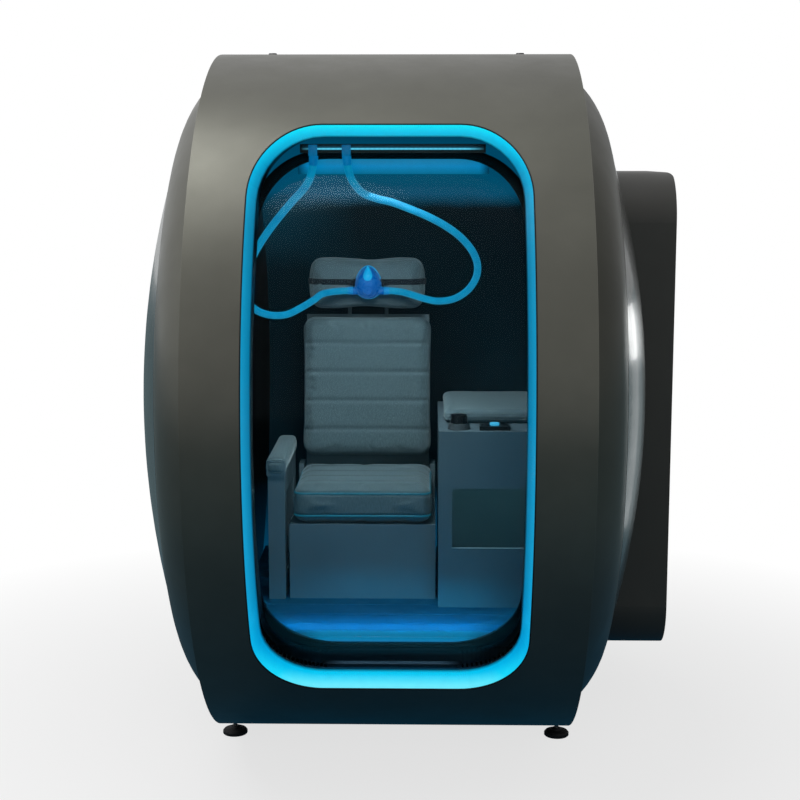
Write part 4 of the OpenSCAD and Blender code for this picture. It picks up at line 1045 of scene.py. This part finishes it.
class Upholsterer:
    """Builds foam cushions: a rounded block, blown up as cloth, then sewn and piped."""

    frames = 20
    seam_share = 0.75
    foam = {
        "quality": 4, "mass": 0.25, "tension_stiffness": 14, "compression_stiffness": 14,
        "shear_stiffness": 6, "bending_stiffness": 0.6, "use_pressure": True, "uniform_pressure_force": 4.0,
    }

    def __init__(self) -> None:
        """Starts with no cushion on the bench."""
        self.bench: list[tuple[CushionForm, Object, list[Vector]]] = []

    def matrix(self, form: CushionForm) -> Matrix:
        """Gives the matrix from the cushion's own frame, thickness along Z, to the row frame."""
        base = LEAN if form.leaning else Matrix.Translation(BARREL)
        turn = Matrix.Rotation(math.radians(90), 4, "X") if form.turned else Matrix.Identity(4)
        return base @ Matrix.Translation(Vector(form.middle) * MM) @ turn

    def block(self, form: CushionForm) -> Object:
        """Makes the rounded block in the cushion's own frame and remeshes it evenly.

        Args:
            form: The cushion.

        Returns:
            The object, still in its own frame.
        """
        width, depth, thick = (s * MM for s in form.size)
        bm = bmesh.new()
        bmesh.ops.create_cube(bm, size=1)
        bmesh.ops.scale(bm, vec=(width, depth, thick), verts=bm.verts)
        upright = [e for e in bm.edges if abs(e.verts[0].co.z - e.verts[1].co.z) > thick / 2]
        soften(bm, upright, form.plan_r, 8)
        rims = [e for e in bm.edges if abs(e.verts[0].co.z - e.verts[1].co.z) < thick / 4]
        soften(bm, rims, form.edge_r, 5)
        obj = mesh_piece(form.name, bm)
        modifier(obj, "even", "REMESH", mode="VOXEL", voxel_size=form.voxel * MM, use_smooth_shade=True)
        return settle(obj)

    def start(self, form: CushionForm) -> None:
        obj = self.block(form)
        rest = [v.co.copy() for v in obj.data.vertices]
        cloth = modifier(obj, "swell", "CLOTH")
        for key, value in self.foam.items():
            setattr(cloth.settings, key, value)
        cloth.settings.effector_weights.gravity = 0
        cloth.point_cache.frame_start = 1
        cloth.point_cache.frame_end = self.frames
        self.bench.append((form, obj, rest))

    def swell(self) -> None:
        """Runs the cloth of every cushion on the bench at once and caps how far points moved."""
        scene = bpy.context.scene
        for number in range(1, self.frames + 1):
            scene.frame_set(number)
        graph = bpy.context.evaluated_depsgraph_get()
        for form, obj, rest in self.bench:
            shape = obj.evaluated_get(graph).data
            moved = [v.co.copy() for v in shape.vertices]
            obj.modifiers.clear()
            cap = form.cap * MM
            for v, old, new in zip(obj.data.vertices, rest, moved):
                step = new - old
                v.co = old + step * (cap / max(cap, step.length))
        scene.frame_set(1)

    def seam(self, form: CushionForm) -> float:
        """Gives how far from its middle a cushion's piping runs, in metres."""
        return form.size[2] * MM / 2 - form.edge_r * MM * self.seam_share

    def sew(self, form: CushionForm, obj: Object) -> None:
        """Draws in the sewn channels and the seams beside the piping.

        Args:
            form: The cushion.
            obj: The swollen cushion in its own frame.
        """
        mesh = obj.data
        normals = [v.normal.copy() for v in mesh.vertices]
        seam = self.seam(form)
        for v, normal in zip(mesh.vertices, normals):
            _, y, z = v.co
            pull = 0.0
            for line in form.channels:
                if abs(normal.z) > 0.35 or abs(normal.y) > 0.9:
                    near = (y - line * MM) / 0.0055
                    pull += 0.0055 * math.exp(-(near**2)) * min(1.0, abs(normal.z) * 1.6)
            if form.piping:
                near = (abs(z) - seam) / 0.0045
                pull += 0.0028 * math.exp(-(near**2)) * (1 - min(1.0, abs(normal.z)) ** 2)
            v.co -= normal * pull
        modifier(obj, "finer", "SUBSURF", levels=1, render_levels=1)

    def contour(self, obj: Object, height: float) -> list[Vector]:
        """Follows a cushion's outline at a height of its own frame, in metres."""
        bm = bmesh.new()
        bm.from_mesh(obj.data)
        return level_cut(bm, height)

    def finish(self) -> dict[str, Object]:
        """Sews, places, dresses and pipes every cushion.

        Returns:
            The finished cushions by name.
        """
        self.swell()
        done = {}
        for form, obj, _ in self.bench:
            self.sew(form, obj)
            matrix = self.matrix(form)
            lines = []
            if form.piping:
                seam = self.seam(form)
                lines = [self.contour(obj, seam), self.contour(obj, -seam)]
            obj = settle(obj)
            obj.data.transform(matrix)
            obj.data.shade_smooth()
            dress(obj, Slot.FABRIC, form.body)
            if form.node:
                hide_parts(form.node)
            # The seat piping's cyan glow is painted light, a painted highlight of the door's LEDs
            lit = BOOK.named("piping_painted_cyan_glow", SiliconePaintedGlow((20, 104, 124), (10, 84, 104), glow=0.55))
            for number, line in enumerate(lines):
                name = f"{form.name}_piping_{number + 1}"
                cord = sweep(name, [matrix @ p for p in line[::2]], form.piping / 2 * MM, closed=True)
                dress(cord, Slot.FABRIC, form.body, lit if form.piping_painted_glow else None)
            done[form.name] = obj
        self.bench.clear()
        return done


class BreathingLine:
    """The two breathing hoses with their end cuffs."""

    hose_d = 22.0
    rib_pitch = 4.0
    routes: dict[str, list[Triple]] = {
        "hose_left": [
            (-215, -440, 705), (-215, -440, 697), (-219.8, -436.2, 665), (-230.3, -425.5, 636.6),
            (-249.5, -406.5, 610.9), (-278, -376, 583), (-312, -348, 546), (-344, -322, 508),
            (-374, -296, 468), (-400, -268, 427), (-421, -234, 380), (-433, -192, 330),
            (-432, -148, 285), (-413, -102, 253), (-377, -54, 234), (-334, 2, 230), (-294, 62, 245),
            (-258, 120, 264), (-238.5, 170.2, 276.6), (-209.8, 201.4, 281.4), (-180.2, 216.6, 283.4),
            (-151, 222, 284), (-141, 222, 284),
        ],
        "hose_right": [
            (-125, -440, 705), (-125, -440, 697), (-120.7, -436.1, 665.3), (-109.2, -425.5, 635.6),
            (-85.5, -403.5, 606.4), (-48.4, -368, 589.6), (-6, -330, 578), (42, -292, 559),
            (94, -255, 536), (146, -218, 507), (190, -180, 473), (224, -142, 432), (241, -98, 389),
            (238, -50, 345), (214, 6, 303), (174, 62, 273), (126, 108, 262), (84, 148, 266),
            (47.6, 183.5, 274.1), (12.3, 210.3, 281.2), (-18.8, 220.3, 283.8), (-34, 222, 284),
            (-44, 222, 284),
        ],
    }

    def smooth_path(self, route: list[Triple]) -> list[Vector]:
        """Draws one smooth curve through a route.

        Args:
            route: The route's points, in millimetres about the barrel's middle.

        Returns:
            Points about 2 mm apart, in the row frame.
        """
        points = [at(*p) for p in route]
        count = len(points)
        slopes = []
        for i in range(count):
            before, after = points[max(i - 1, 0)], points[min(i + 1, count - 1)]
            slopes.append((after - before) * (0.5 if 0 < i < count - 1 else 1.0))
        path: list[Vector] = []
        for i in range(count - 1):
            a, b = points[i], points[i + 1]
            steps = max(2, round((b - a).length / (self.rib_pitch * MM / 2)))
            path += interpolate_bezier(a, a + slopes[i] / 3, b - slopes[i + 1] / 3, b, steps + 1)[:-1]
        return path + [points[-1]]

    def tube(self, name: str, path: list[Vector]) -> Object:
        """Sweeps the ribbed hose along its path, plain at both ends."""
        plain = 12
        ribs = [
            1.0 if number < plain or number > len(path) - plain - 1 or number % 2 else 0.945
            for number in range(len(path))
        ]
        return sweep(name, path, self.hose_d / 2 * MM, ribs, sides=5)

    def cuff(self, name: str, path: list[Vector], wide: float, body: str) -> Object:
        """Slips a tapered soft cuff over a hose's end.

        Args:
            name: The cuff's name.
            path: Centreline points under it, from the hose's end inwards.
            wide: Its greatest radius in millimetres.
            body: The body that it rides on.

        Returns:
            The cuff.
        """
        last = len(path) - 1
        radii = []
        for number in range(len(path)):
            ring = 0.6 if 2 < number < last - 2 and number % 3 == 0 else 0.0
            radii.append(wide - 1.6 * (number / last) - ring - (0.8 if number in (0, last) else 0.0))
        # The cuff's glow is painted light
        soft = BOOK.named("hose_cuff", SiliconePaintedGlow((6, 122, 180), (0, 96, 152), glow=0.8))
        return dress(sweep(name, path, MM, radii, sides=6), Slot.HOSE, body, soft)

    def build(self) -> None:
        """Makes both hoses and their cuffs."""
        for name, route in self.routes.items():
            path = self.smooth_path(route)
            hose = self.tube(name + "_tube", path)
            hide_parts(name)
            dress(hose, Slot.HOSE, None)
            top = self.cuff(name + "_outlet_cuff", path[:14], 13.2, "chamber")
            foot = self.cuff(name + "_mask_cuff", path[:-12:-1], 13.0, "backrest")
            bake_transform(hose)


def rounded_outline(wide: float, heights: Pair, radii: Pair, steps: int, runs: int) -> list[Pair]:
    """Lists points round a doorway with rounded corners, seen from the front.

    Args:
        wide: Half its width in millimetres.
        heights: Its upper and lower edge, in millimetres from the barrel's axis.
        radii: The upper and the lower corners' radius.
        steps: The number of points for each corner.
        runs: The number of points along each side.

    Returns:
        Points as across and up.
    """
    points = []
    (top, low), (top_r, low_r) = heights, radii
    for side, edge, radius, start in (
        (1, top, top_r, 0), (-1, top, top_r, 90), (-1, low, low_r, 180), (1, low, low_r, 270)
    ):
        up = 1 if start < 180 else -1
        for step in range(steps + 1):
            turn = math.radians(start + 90 * step / steps)
            across = side * (wide - radius) + radius * math.cos(turn)
            points.append((across, edge - up * radius + radius * math.sin(turn)))
        if start in (90, 270):
            far = low + low_r if start == 90 else top - top_r
            here = points[-1]
            points.extend((here[0], here[1] + (far - here[1]) * k / runs) for k in range(1, runs))
    return points


def on_drum(points: list[Pair], radius: float) -> list[Vector]:
    """Lays points of the front view on a drum round the barrel's axis."""
    return [at(x, -math.sqrt(radius * radius - z * z), z) for x, z in points]


@dataclass
class DoorwayTrim:
    """The liner's edge seal, the cowl's black bead for the shadow gap, the hose clips, two strips of
    painted light and the threshold with painted light.
    """

    half: float = 348.0
    top: float = 697.0
    low: float = -643.0
    radii: Pair = (170.0, 207.0)
    liner_r: float = 812.0
    lip: float = 24.0
    lip_radii: Pair = (178.0, 178.0)
    cowl_cut: tuple[float, float, float, float] = (359.0, 786.0, -702.0, 180.0)
    cowl_r: float = 999.6
    bar_thick: float = 1.6

    def seal(self) -> None:
        """Makes the edge seal: a flat ring on the liner with a rounded inner bead."""
        inner = rounded_outline(self.half, (self.top, self.low), self.radii, 14, 24)
        reach = (self.top + self.lip, self.low - self.lip)
        outer = rounded_outline(self.half + self.lip, reach, self.lip_radii, 14, 24)
        bm = bmesh.new()
        rows = [
            [bm.verts.new(point) for point in on_drum(ring, self.liner_r + rise)]
            for ring, rise in ((outer, 0.6), (outer, 3.0), (inner, 3.0), (inner, -6.5))
        ]
        for near, far in zip(rows, rows[1:]):
            for i in range(len(near)):
                j = (i + 1) % len(near)
                bm.faces.new((near[i], near[j], far[j], far[i]))
        bmesh.ops.recalc_face_normals(bm, faces=bm.faces)
        ring = mesh_piece("opening_seal", bm, 60)
        modifier(ring, "soft", "BEVEL", width=1.4 * MM, segments=3, limit_method="ANGLE")
        dress(settle(ring), Slot.SEAL, "chamber")

    def cowl_shadow_bead(self) -> None:
        """Lays a thin black bead where the light guide meets the cowl's cut edge, a dark piece that stands
        for the shadow gap there.
        """
        wide, top, low, radius = self.cowl_cut
        points = rounded_outline(wide, (top, low), (radius, radius), 18, 48)
        dress(sweep("cowl_shadow_bead", on_drum(points, self.cowl_r), 1.9 * MM, closed=True), Slot.SEAL, "chamber")

    def clips(self) -> None:
        """Makes the two blue clips that hold the hoses' upper ends against the light bar."""
        # The clips' glow is painted light
        clip = BOOK.named("hose_clip", SiliconePaintedGlow((10, 120, 172), (4, 92, 146), rough=0.3, glow=0.7))
        for side, across in (("left", -215), ("right", -125)):
            block = box((24, 4, 30), at(across, -467, 720), 1.2, 3)
            dress(mesh_piece(f"hose_clip_{side}", block), Slot.HOSE, "chamber", clip)

    def lights(self) -> None:
        """Makes the floor's nosing and the panel under the manifold, both glowing with painted cyan light.
        """
        # Both strips' glow is painted cyan light
        foot = PaintedLightStrip(0.432, 0.404, (0, 96, 132), (34, 128, 184), 0.2, 0.27)
        head = PaintedLightStrip(1.702, 1.736, (4, 106, 142), (22, 124, 168), 0.235, 0.262)
        nosing = [
            (-462, -619.6), (-462, -617.2), (-514, -617.2), (-517.5, -620), (-490, -641), (-488, -639),
            (-513, -619.6),
        ]
        panel = [(-387, 656), (-381, 656), (-381, 712.6), (-387, 712.6)]
        for name, profile, reach, finish, recipe in (
            ("floor_nosing", nosing, 318, "nosing_painted_light", foot),
            ("head_panel", panel, 262, "head_panel_painted_light", head),
        ):
            strip = mesh_piece(name, bar(profile, reach, 0.7), 60)
            dress(strip, Slot.GLOW, "chamber", BOOK.named(finish, recipe))

    def threshold(self) -> None:
        """Lays two brushed bars over the doorway's lower edge, one fixed and one on the door."""
        # The bars' finish holds painted light in the middle and painted shade at the ends
        steel = BOOK.named("threshold_steel_painted_light", ThresholdPaintedLight())
        for name, body, front, back, low in (
            ("threshold_fixed", "chamber", -516, -556, -676.8),
            ("threshold_door", "door", -540, -564, -681.8),
        ):
            high = low + self.bar_thick
            profile = [(front, low), (front, high), (back, high), (back, low)]
            dress(mesh_piece(name, bar(profile, 192, 0.3), 60), Slot.FRAME, body, steel)

    def build(self) -> None:
        """Makes every part of the trim."""
        self.seal()
        self.cowl_shadow_bead()
        self.clips()
        self.lights()
        self.threshold()


@dataclass
class BreathingMask:
    """The mask parked on the headrest: shell, nose piece, valve, seal, strap and clips."""

    middle: Pair = (-94.0, 308.6)
    rim_y: float = 244.7
    port: Pair = (221.7, 283.6)
    depth: float = 62.0
    width: float = 84.0
    height: float = 104.0
    narrow: float = 0.22

    def loops(self, name: str, share: float, grow: float, rows: int, shift: float) -> Object:
        """Draws a bowl of egg-shaped rings from its rim to its closed front.

        Args:
            name: The piece's name.
            share: How far round the bowl goes, from 0 at the rim to 1 at the front.
            grow: How much wider than the mask it is, in millimetres.
            rows: The number of rings.
            shift: How far in front of the mask it sits, in millimetres.

        Returns:
            The piece, in the row frame.
        """
        bm = bmesh.new()
        bmesh.ops.create_circle(bm, segments=40, radius=1.0)
        ring = bm.edges[:]
        before = (1.0, 0.0)
        for row in range(1, rows + 1):
            turn = math.radians(88 * share * row / rows)
            now = (math.cos(turn) ** 0.6, math.sin(turn))
            grown = bmesh.ops.extrude_edge_only(bm, edges=ring)["geom"]
            verts = [g for g in grown if isinstance(g, bmesh.types.BMVert)]
            ring = [g for g in grown if isinstance(g, bmesh.types.BMEdge)]
            bmesh.ops.scale(bm, vec=(now[0] / before[0], now[0] / before[0], 1), verts=verts)
            bmesh.ops.translate(bm, vec=(0, 0, now[1] - before[1]), verts=verts)
            before = now
        bmesh.ops.contextual_create(bm, geom=ring)
        wide, high = self.width / 2 + grow, self.height / 2 + grow
        for v in bm.verts:
            x, y, z = v.co
            v.co = at(
                self.middle[0] + wide * x * (1 - self.narrow * y),
                self.rim_y - self.depth * z - shift,
                self.middle[1] + high * y,
            )
        bmesh.ops.recalc_face_normals(bm, faces=bm.faces)
        return mesh_piece(name, bm, 80)

    def shell(self) -> None:
        """Makes the blue shell with its flanged rim and the two hose ports."""
        shell = self.loops("mask_shell_body", 1.0, 0.0, 12, 0.0)
        modifier(shell, "wall", "SOLIDIFY", thickness=2.6 * MM, offset=-1)
        modifier(shell, "finer", "SUBSURF", levels=1, render_levels=1)
        shell = dress(settle(shell), Slot.MASK, "backrest")
        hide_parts("mask_shell")
        for side, (x0, x1) in {"left": (-142.5, -106), "right": (-42.5, -80)}.items():
            bm = cone(36, (11.6, 12.6), 1, 1.2, 2)
            span = (x1 - x0) * MM
            turn = Matrix.Rotation(math.radians(90 if x1 > x0 else -90), 3, "Y")
            bmesh.ops.scale(bm, vec=(1, 1, abs(span)), verts=bm.verts)
            bmesh.ops.rotate(bm, matrix=turn, verts=bm.verts)
            bmesh.ops.translate(bm, vec=at((x0 + x1) / 2, *self.port), verts=bm.verts)
            dress(mesh_piece(f"mask_port_{side}", bm), Slot.MASK, "backrest")

    def nose(self) -> None:
        """Makes the paler nose piece: a raised wedge on the mask's upper half."""
        bm = bmesh.new()
        bmesh.ops.create_uvsphere(bm, u_segments=32, v_segments=20, radius=1.0)
        for v in bm.verts:
            x, y, z = v.co
            taper = 0.24 + 0.76 * (1 - z) / 2
            v.co = at(
                self.middle[0] + 27 * x * taper,
                self.rim_y - 45 + 24 * y * (0.55 + 0.45 * (1 - z) / 2) + 9 * max(0.0, z),
                self.middle[1] + 27 + 27 * z,
            )
        dress(mesh_piece("mask_nose", bm, 80), Slot.SILICONE, "backrest")

    def valve(self) -> None:
        """Makes the slotted exhale valve on the mask's front."""
        front, up = self.rim_y - self.depth, 288
        disc = cone(40, (15, 13), 7 * MM, 1.1, 3)
        top = [f for f in disc.faces if f.normal.z > 0.9]
        bmesh.ops.inset_region(disc, faces=top, thickness=2.4 * MM, depth=-1.4 * MM)
        bmesh.ops.rotate(disc, matrix=Matrix.Rotation(math.radians(90), 3, "X"), verts=disc.verts)
        bmesh.ops.translate(disc, vec=at(self.middle[0], front + 1, up), verts=disc.verts)
        dress(mesh_piece("mask_valve", disc), Slot.MASK, "backrest")
        for number in range(5):
            size = (19 - abs(number - 2) * 3.2, 1.4, 1.5)
            slat = box(size, at(self.middle[0], front - 1.6, up + (number - 2) * 3.6), 0.4, 2)
            dress(mesh_piece(f"mask_valve_bar_{number + 1}", slat), Slot.MASK, "backrest")

    def seal(self) -> None:
        """Makes the soft face seal: a rolled lip round the mask's rim."""
        points = []
        for number in range(72):
            turn = math.radians(number * 5)
            wide = (self.width / 2 - 2) * (1 - self.narrow * math.sin(turn))
            points.append(
                at(
                    self.middle[0] + wide * math.cos(turn),
                    self.rim_y + 3.2,
                    self.middle[1] + (self.height / 2 - 2) * math.sin(turn),
                )
            )
        roll = sweep("mask_seal", points, 3.4 * MM, closed=True, sides=4)
        dress(roll, Slot.SILICONE, "backrest")
        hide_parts("mask_cushion")

    def strap(self, headrest: Object) -> None:
        """Winds the strap round the headrest's own outline and clips it to the mask.

        Args:
            headrest: The finished headrest, in the row frame.
        """
        bm = bmesh.new()
        graph = bpy.context.evaluated_depsgraph_get()
        bm.from_mesh(headrest.evaluated_get(graph).data)
        level = at(0, 0, self.middle[1]).z
        loop = level_cut(bm, level)
        centre = sum(loop, Vector()) / len(loop)
        mask_at = at(self.middle[0], self.rim_y, self.middle[1])
        front = min(range(len(loop)), key=lambda i: (loop[i] - mask_at).length)
        loop = loop[front:] + loop[:front]
        kept = []
        for point in loop[::3]:
            away = (point - centre) * Vector((1, 1, 0))
            if point.y > mask_at.y + 0.05 or abs(point.x - mask_at.x) > 0.062:
                kept.append(point + away.normalized() * 0.0022)
        side = 1 if kept[0].x > mask_at.x else -1
        clip = [at(self.middle[0] + s * 43, self.rim_y - 7, self.middle[1]) for s in (side, -side)]
        points = [clip[0], *kept, clip[1]]
        data = bpy.data.curves.new("mask_strap_web", "CURVE")
        data.dimensions = "2D"
        data.fill_mode = "NONE"
        data.extrude = 9.5 * MM
        spline = data.splines.new("POLY")
        spline.points.add(len(points) - 1)
        for spot, point in zip(spline.points, points):
            spot.co = (point.x, point.y, 0, 1)
        web = link("mask_strap_web", data)
        web.location.z = level
        web = settle(web)
        modifier(web, "wall", "SOLIDIFY", thickness=2 * MM, offset=0)
        modifier(web, "rounded", "BEVEL", width=0.6 * MM, segments=2)
        web = dress(settle(web), Slot.STRAP, "backrest")
        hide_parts("mask_strap")
        for name, point in zip(("mask_clip_a", "mask_clip_b"), clip):
            dress(mesh_piece(name, box((12, 7, 25), point, 2.2, 3)), Slot.TRIM, "backrest")


@dataclass
class RimScrews:
    """The domed screws that ring each side of the cowl."""

    lip_r: float = 968.0
    lip_x: float = 508.0
    screws: int = 28
    head_r: float = 5.5
    # A head's outline as out and up, in shares of its radius
    head = ((0.0, 0.18), (0.42, 0.18), (0.46, 0.5), (0.7, 0.46), (0.93, 0.28), (1.0, 0.08), (1.0, -0.08))

    def head_at(self, bm: bmesh.types.BMesh, point: Vector, out: Vector) -> None:
        """Spins one head into a mesh, at a point of the row frame, facing outwards."""
        verts = [bm.verts.new((x * self.head_r * MM, 0, z * self.head_r * MM)) for x, z in self.head]
        edges = [bm.edges.new(pair) for pair in zip(verts, verts[1:])]
        bmesh.ops.spin(
            bm, geom=verts + edges, cent=(0, 0, 0), axis=(0, 0, 1), angle=math.tau, steps=12, use_merge=True
        )
        turn = out.to_track_quat("Z", "Y").to_matrix()
        for v in bm.verts:
            if not v.tag:
                v.co = turn @ v.co + point
                v.tag = True

    def build(self) -> None:
        """Rings each side of the cowl with screws."""
        for side, name in ((-1, "left"), (1, "right")):
            bm = bmesh.new()
            for number in range(self.screws):
                turn = math.tau * (number + 0.5) / self.screws
                point = at(side * self.lip_x, self.lip_r * math.cos(turn), self.lip_r * math.sin(turn))
                self.head_at(bm, point, Vector((side, 0, 0)))
            bmesh.ops.remove_doubles(bm, verts=bm.verts, dist=0.00002)
            bmesh.ops.recalc_face_normals(bm, faces=bm.faces)
            dress(mesh_piece(f"cowl_screws_{name}", bm, 50), Slot.TRIM, "chamber")


class Dresser:
    """Gives every carried-over CAD node its finish."""

    nodes: dict[Slot, tuple[str, ...]] = {
        Slot.COWL: ("front_cowl", "rear_cowl", "side_casing_left", "side_casing_right"),
        Slot.DOME: ("side_dome_left", "side_dome_right"),
        Slot.VESSEL: ("vessel_barrel", "vessel_head_left", "vessel_head_right", "door_neck"),
        Slot.FRAME: (
            "hoop_left", "hoop_right", "cradle_ties", "cabinet_bracket", "door_track_left",
            "door_track_right", "foot_studs", "door_carriages", "relief_valve_body", "cabinet_latch",
        ),
        Slot.GLOW: ("glow_ring",),
        Slot.SEAL: ("door_gasket", "foot_pads"),
        Slot.TRIM: (
            "door_frame", "jamb_ring", "oxygen_manifold", "hose_collars", "air_diffuser",
            "relief_valve_knob", "intercom_plate", "lifting_plugs", "service_duct", "recline_lever",
            "fan_shroud",
        ),
        Slot.LINING: ("cabin_liner",),
        Slot.FLOOR: ("cabin_floor",),
        Slot.CONSOLE: ("side_console", "seat_base", "backrest_shell", "armrest"),
        Slot.CABINET: ("cabinet_shell", "cabinet_door"),
        Slot.PUMP: ("compressor",),
        Slot.TANK: ("sieve_tanks",),
        Slot.CONTROL: ("control_box",),
        Slot.FAN: ("fan_rotor",),
        Slot.NYLON: ("rollers_upper", "rollers_lower"),
        Slot.PANE: ("door_pane",),
    }

    def paint(self) -> None:
        """Assigns the finishes, paints a glowing highlight on the lamp strip, and lights the intercom's
        button.
        """
        for slot, names in self.nodes.items():
            for name in names:
                self.assign(name, BOOK.get(slot))
        for name in self.nodes[Slot.DOME]:
            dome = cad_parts[name]
            modifier(dome, "weld", "WELD", merge_threshold=0.05 * MM)
            modifier(dome, "even", "WEIGHTED_NORMAL", keep_sharp=True)
        # The light bar's glow is a painted highlight
        self.assign("light_bar", BOOK.named("light_bar", PaintedHighlightStrip()))
        self.assign("intercom_button", BOOK.named("button_lit", LitKey((60, 170, 214))))

    def assign(self, name: str, material: Material) -> None:
        """Sets one node's material slots."""
        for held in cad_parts[name].material_slots:
            held.material = material
        log.info("%s wears %s", name, material.name)


def cushions() -> list[CushionForm]:
    """Lists the cushions, with the sizes that the frame's solids hold."""
    return [
        CushionForm(
            "seat_cushion_pad", "seat_cushion", "chamber", (-100, 50, -330), (430, 384, 104),
            False, False, 34, 24, 9, 6.0, 0.7, channels=(-118, -40, 38, 116), piping=6.0, piping_painted_glow=True,
        ),
        CushionForm(
            "backrest_cushion_pad", "backrest_cushion", "backrest", (0, -50, 275), (424, 460, 84),
            True, True, 40, 22, 9, 6.0, 0.65, channels=(-138, -46, 46, 138),
        ),
        CushionForm(
            "headrest_pad", "headrest", "backrest", (0, -78, 607), (366, 164, 78),
            True, True, 36, 24, 8, 5.0, 0.75,
        ),
        CushionForm(
            "console_top_pad", "console_pad", "chamber", (293, 125, -70), (308, 420, 30),
            False, False, 26, 10, 6, 5.0, 0.6, piping=3.0,
        ),
        CushionForm(
            "armrest_pad", "", "chamber", (-357, 55, -213), (60, 408, 56),
            False, False, 16, 16, 3, 4.0, 0.7, piping=3.0,
        ),
    ]


def main() -> None:
    """Builds the scene in order and reports each piece."""
    logging.basicConfig(level=logging.INFO, format="%(name)s: %(message)s")
    studio = Studio()
    studio.camera()
    BreathingLine().build()
    DoorwayTrim().build()
    studio.world()
    studio.floor()
    studio.lamps()
    bpy.context.scene.view_settings.view_transform = "Standard"
    Dresser().paint()
    RimScrews().build()
    shop = Upholsterer()
    for form in cushions():
        shop.start(form)
    pads = shop.finish()
    mask = BreathingMask()
    mask.shell()
    mask.nose()
    mask.valve()
    mask.seal()
    mask.strap(pads["headrest_pad"])


if __name__ == "__main__":
    main()
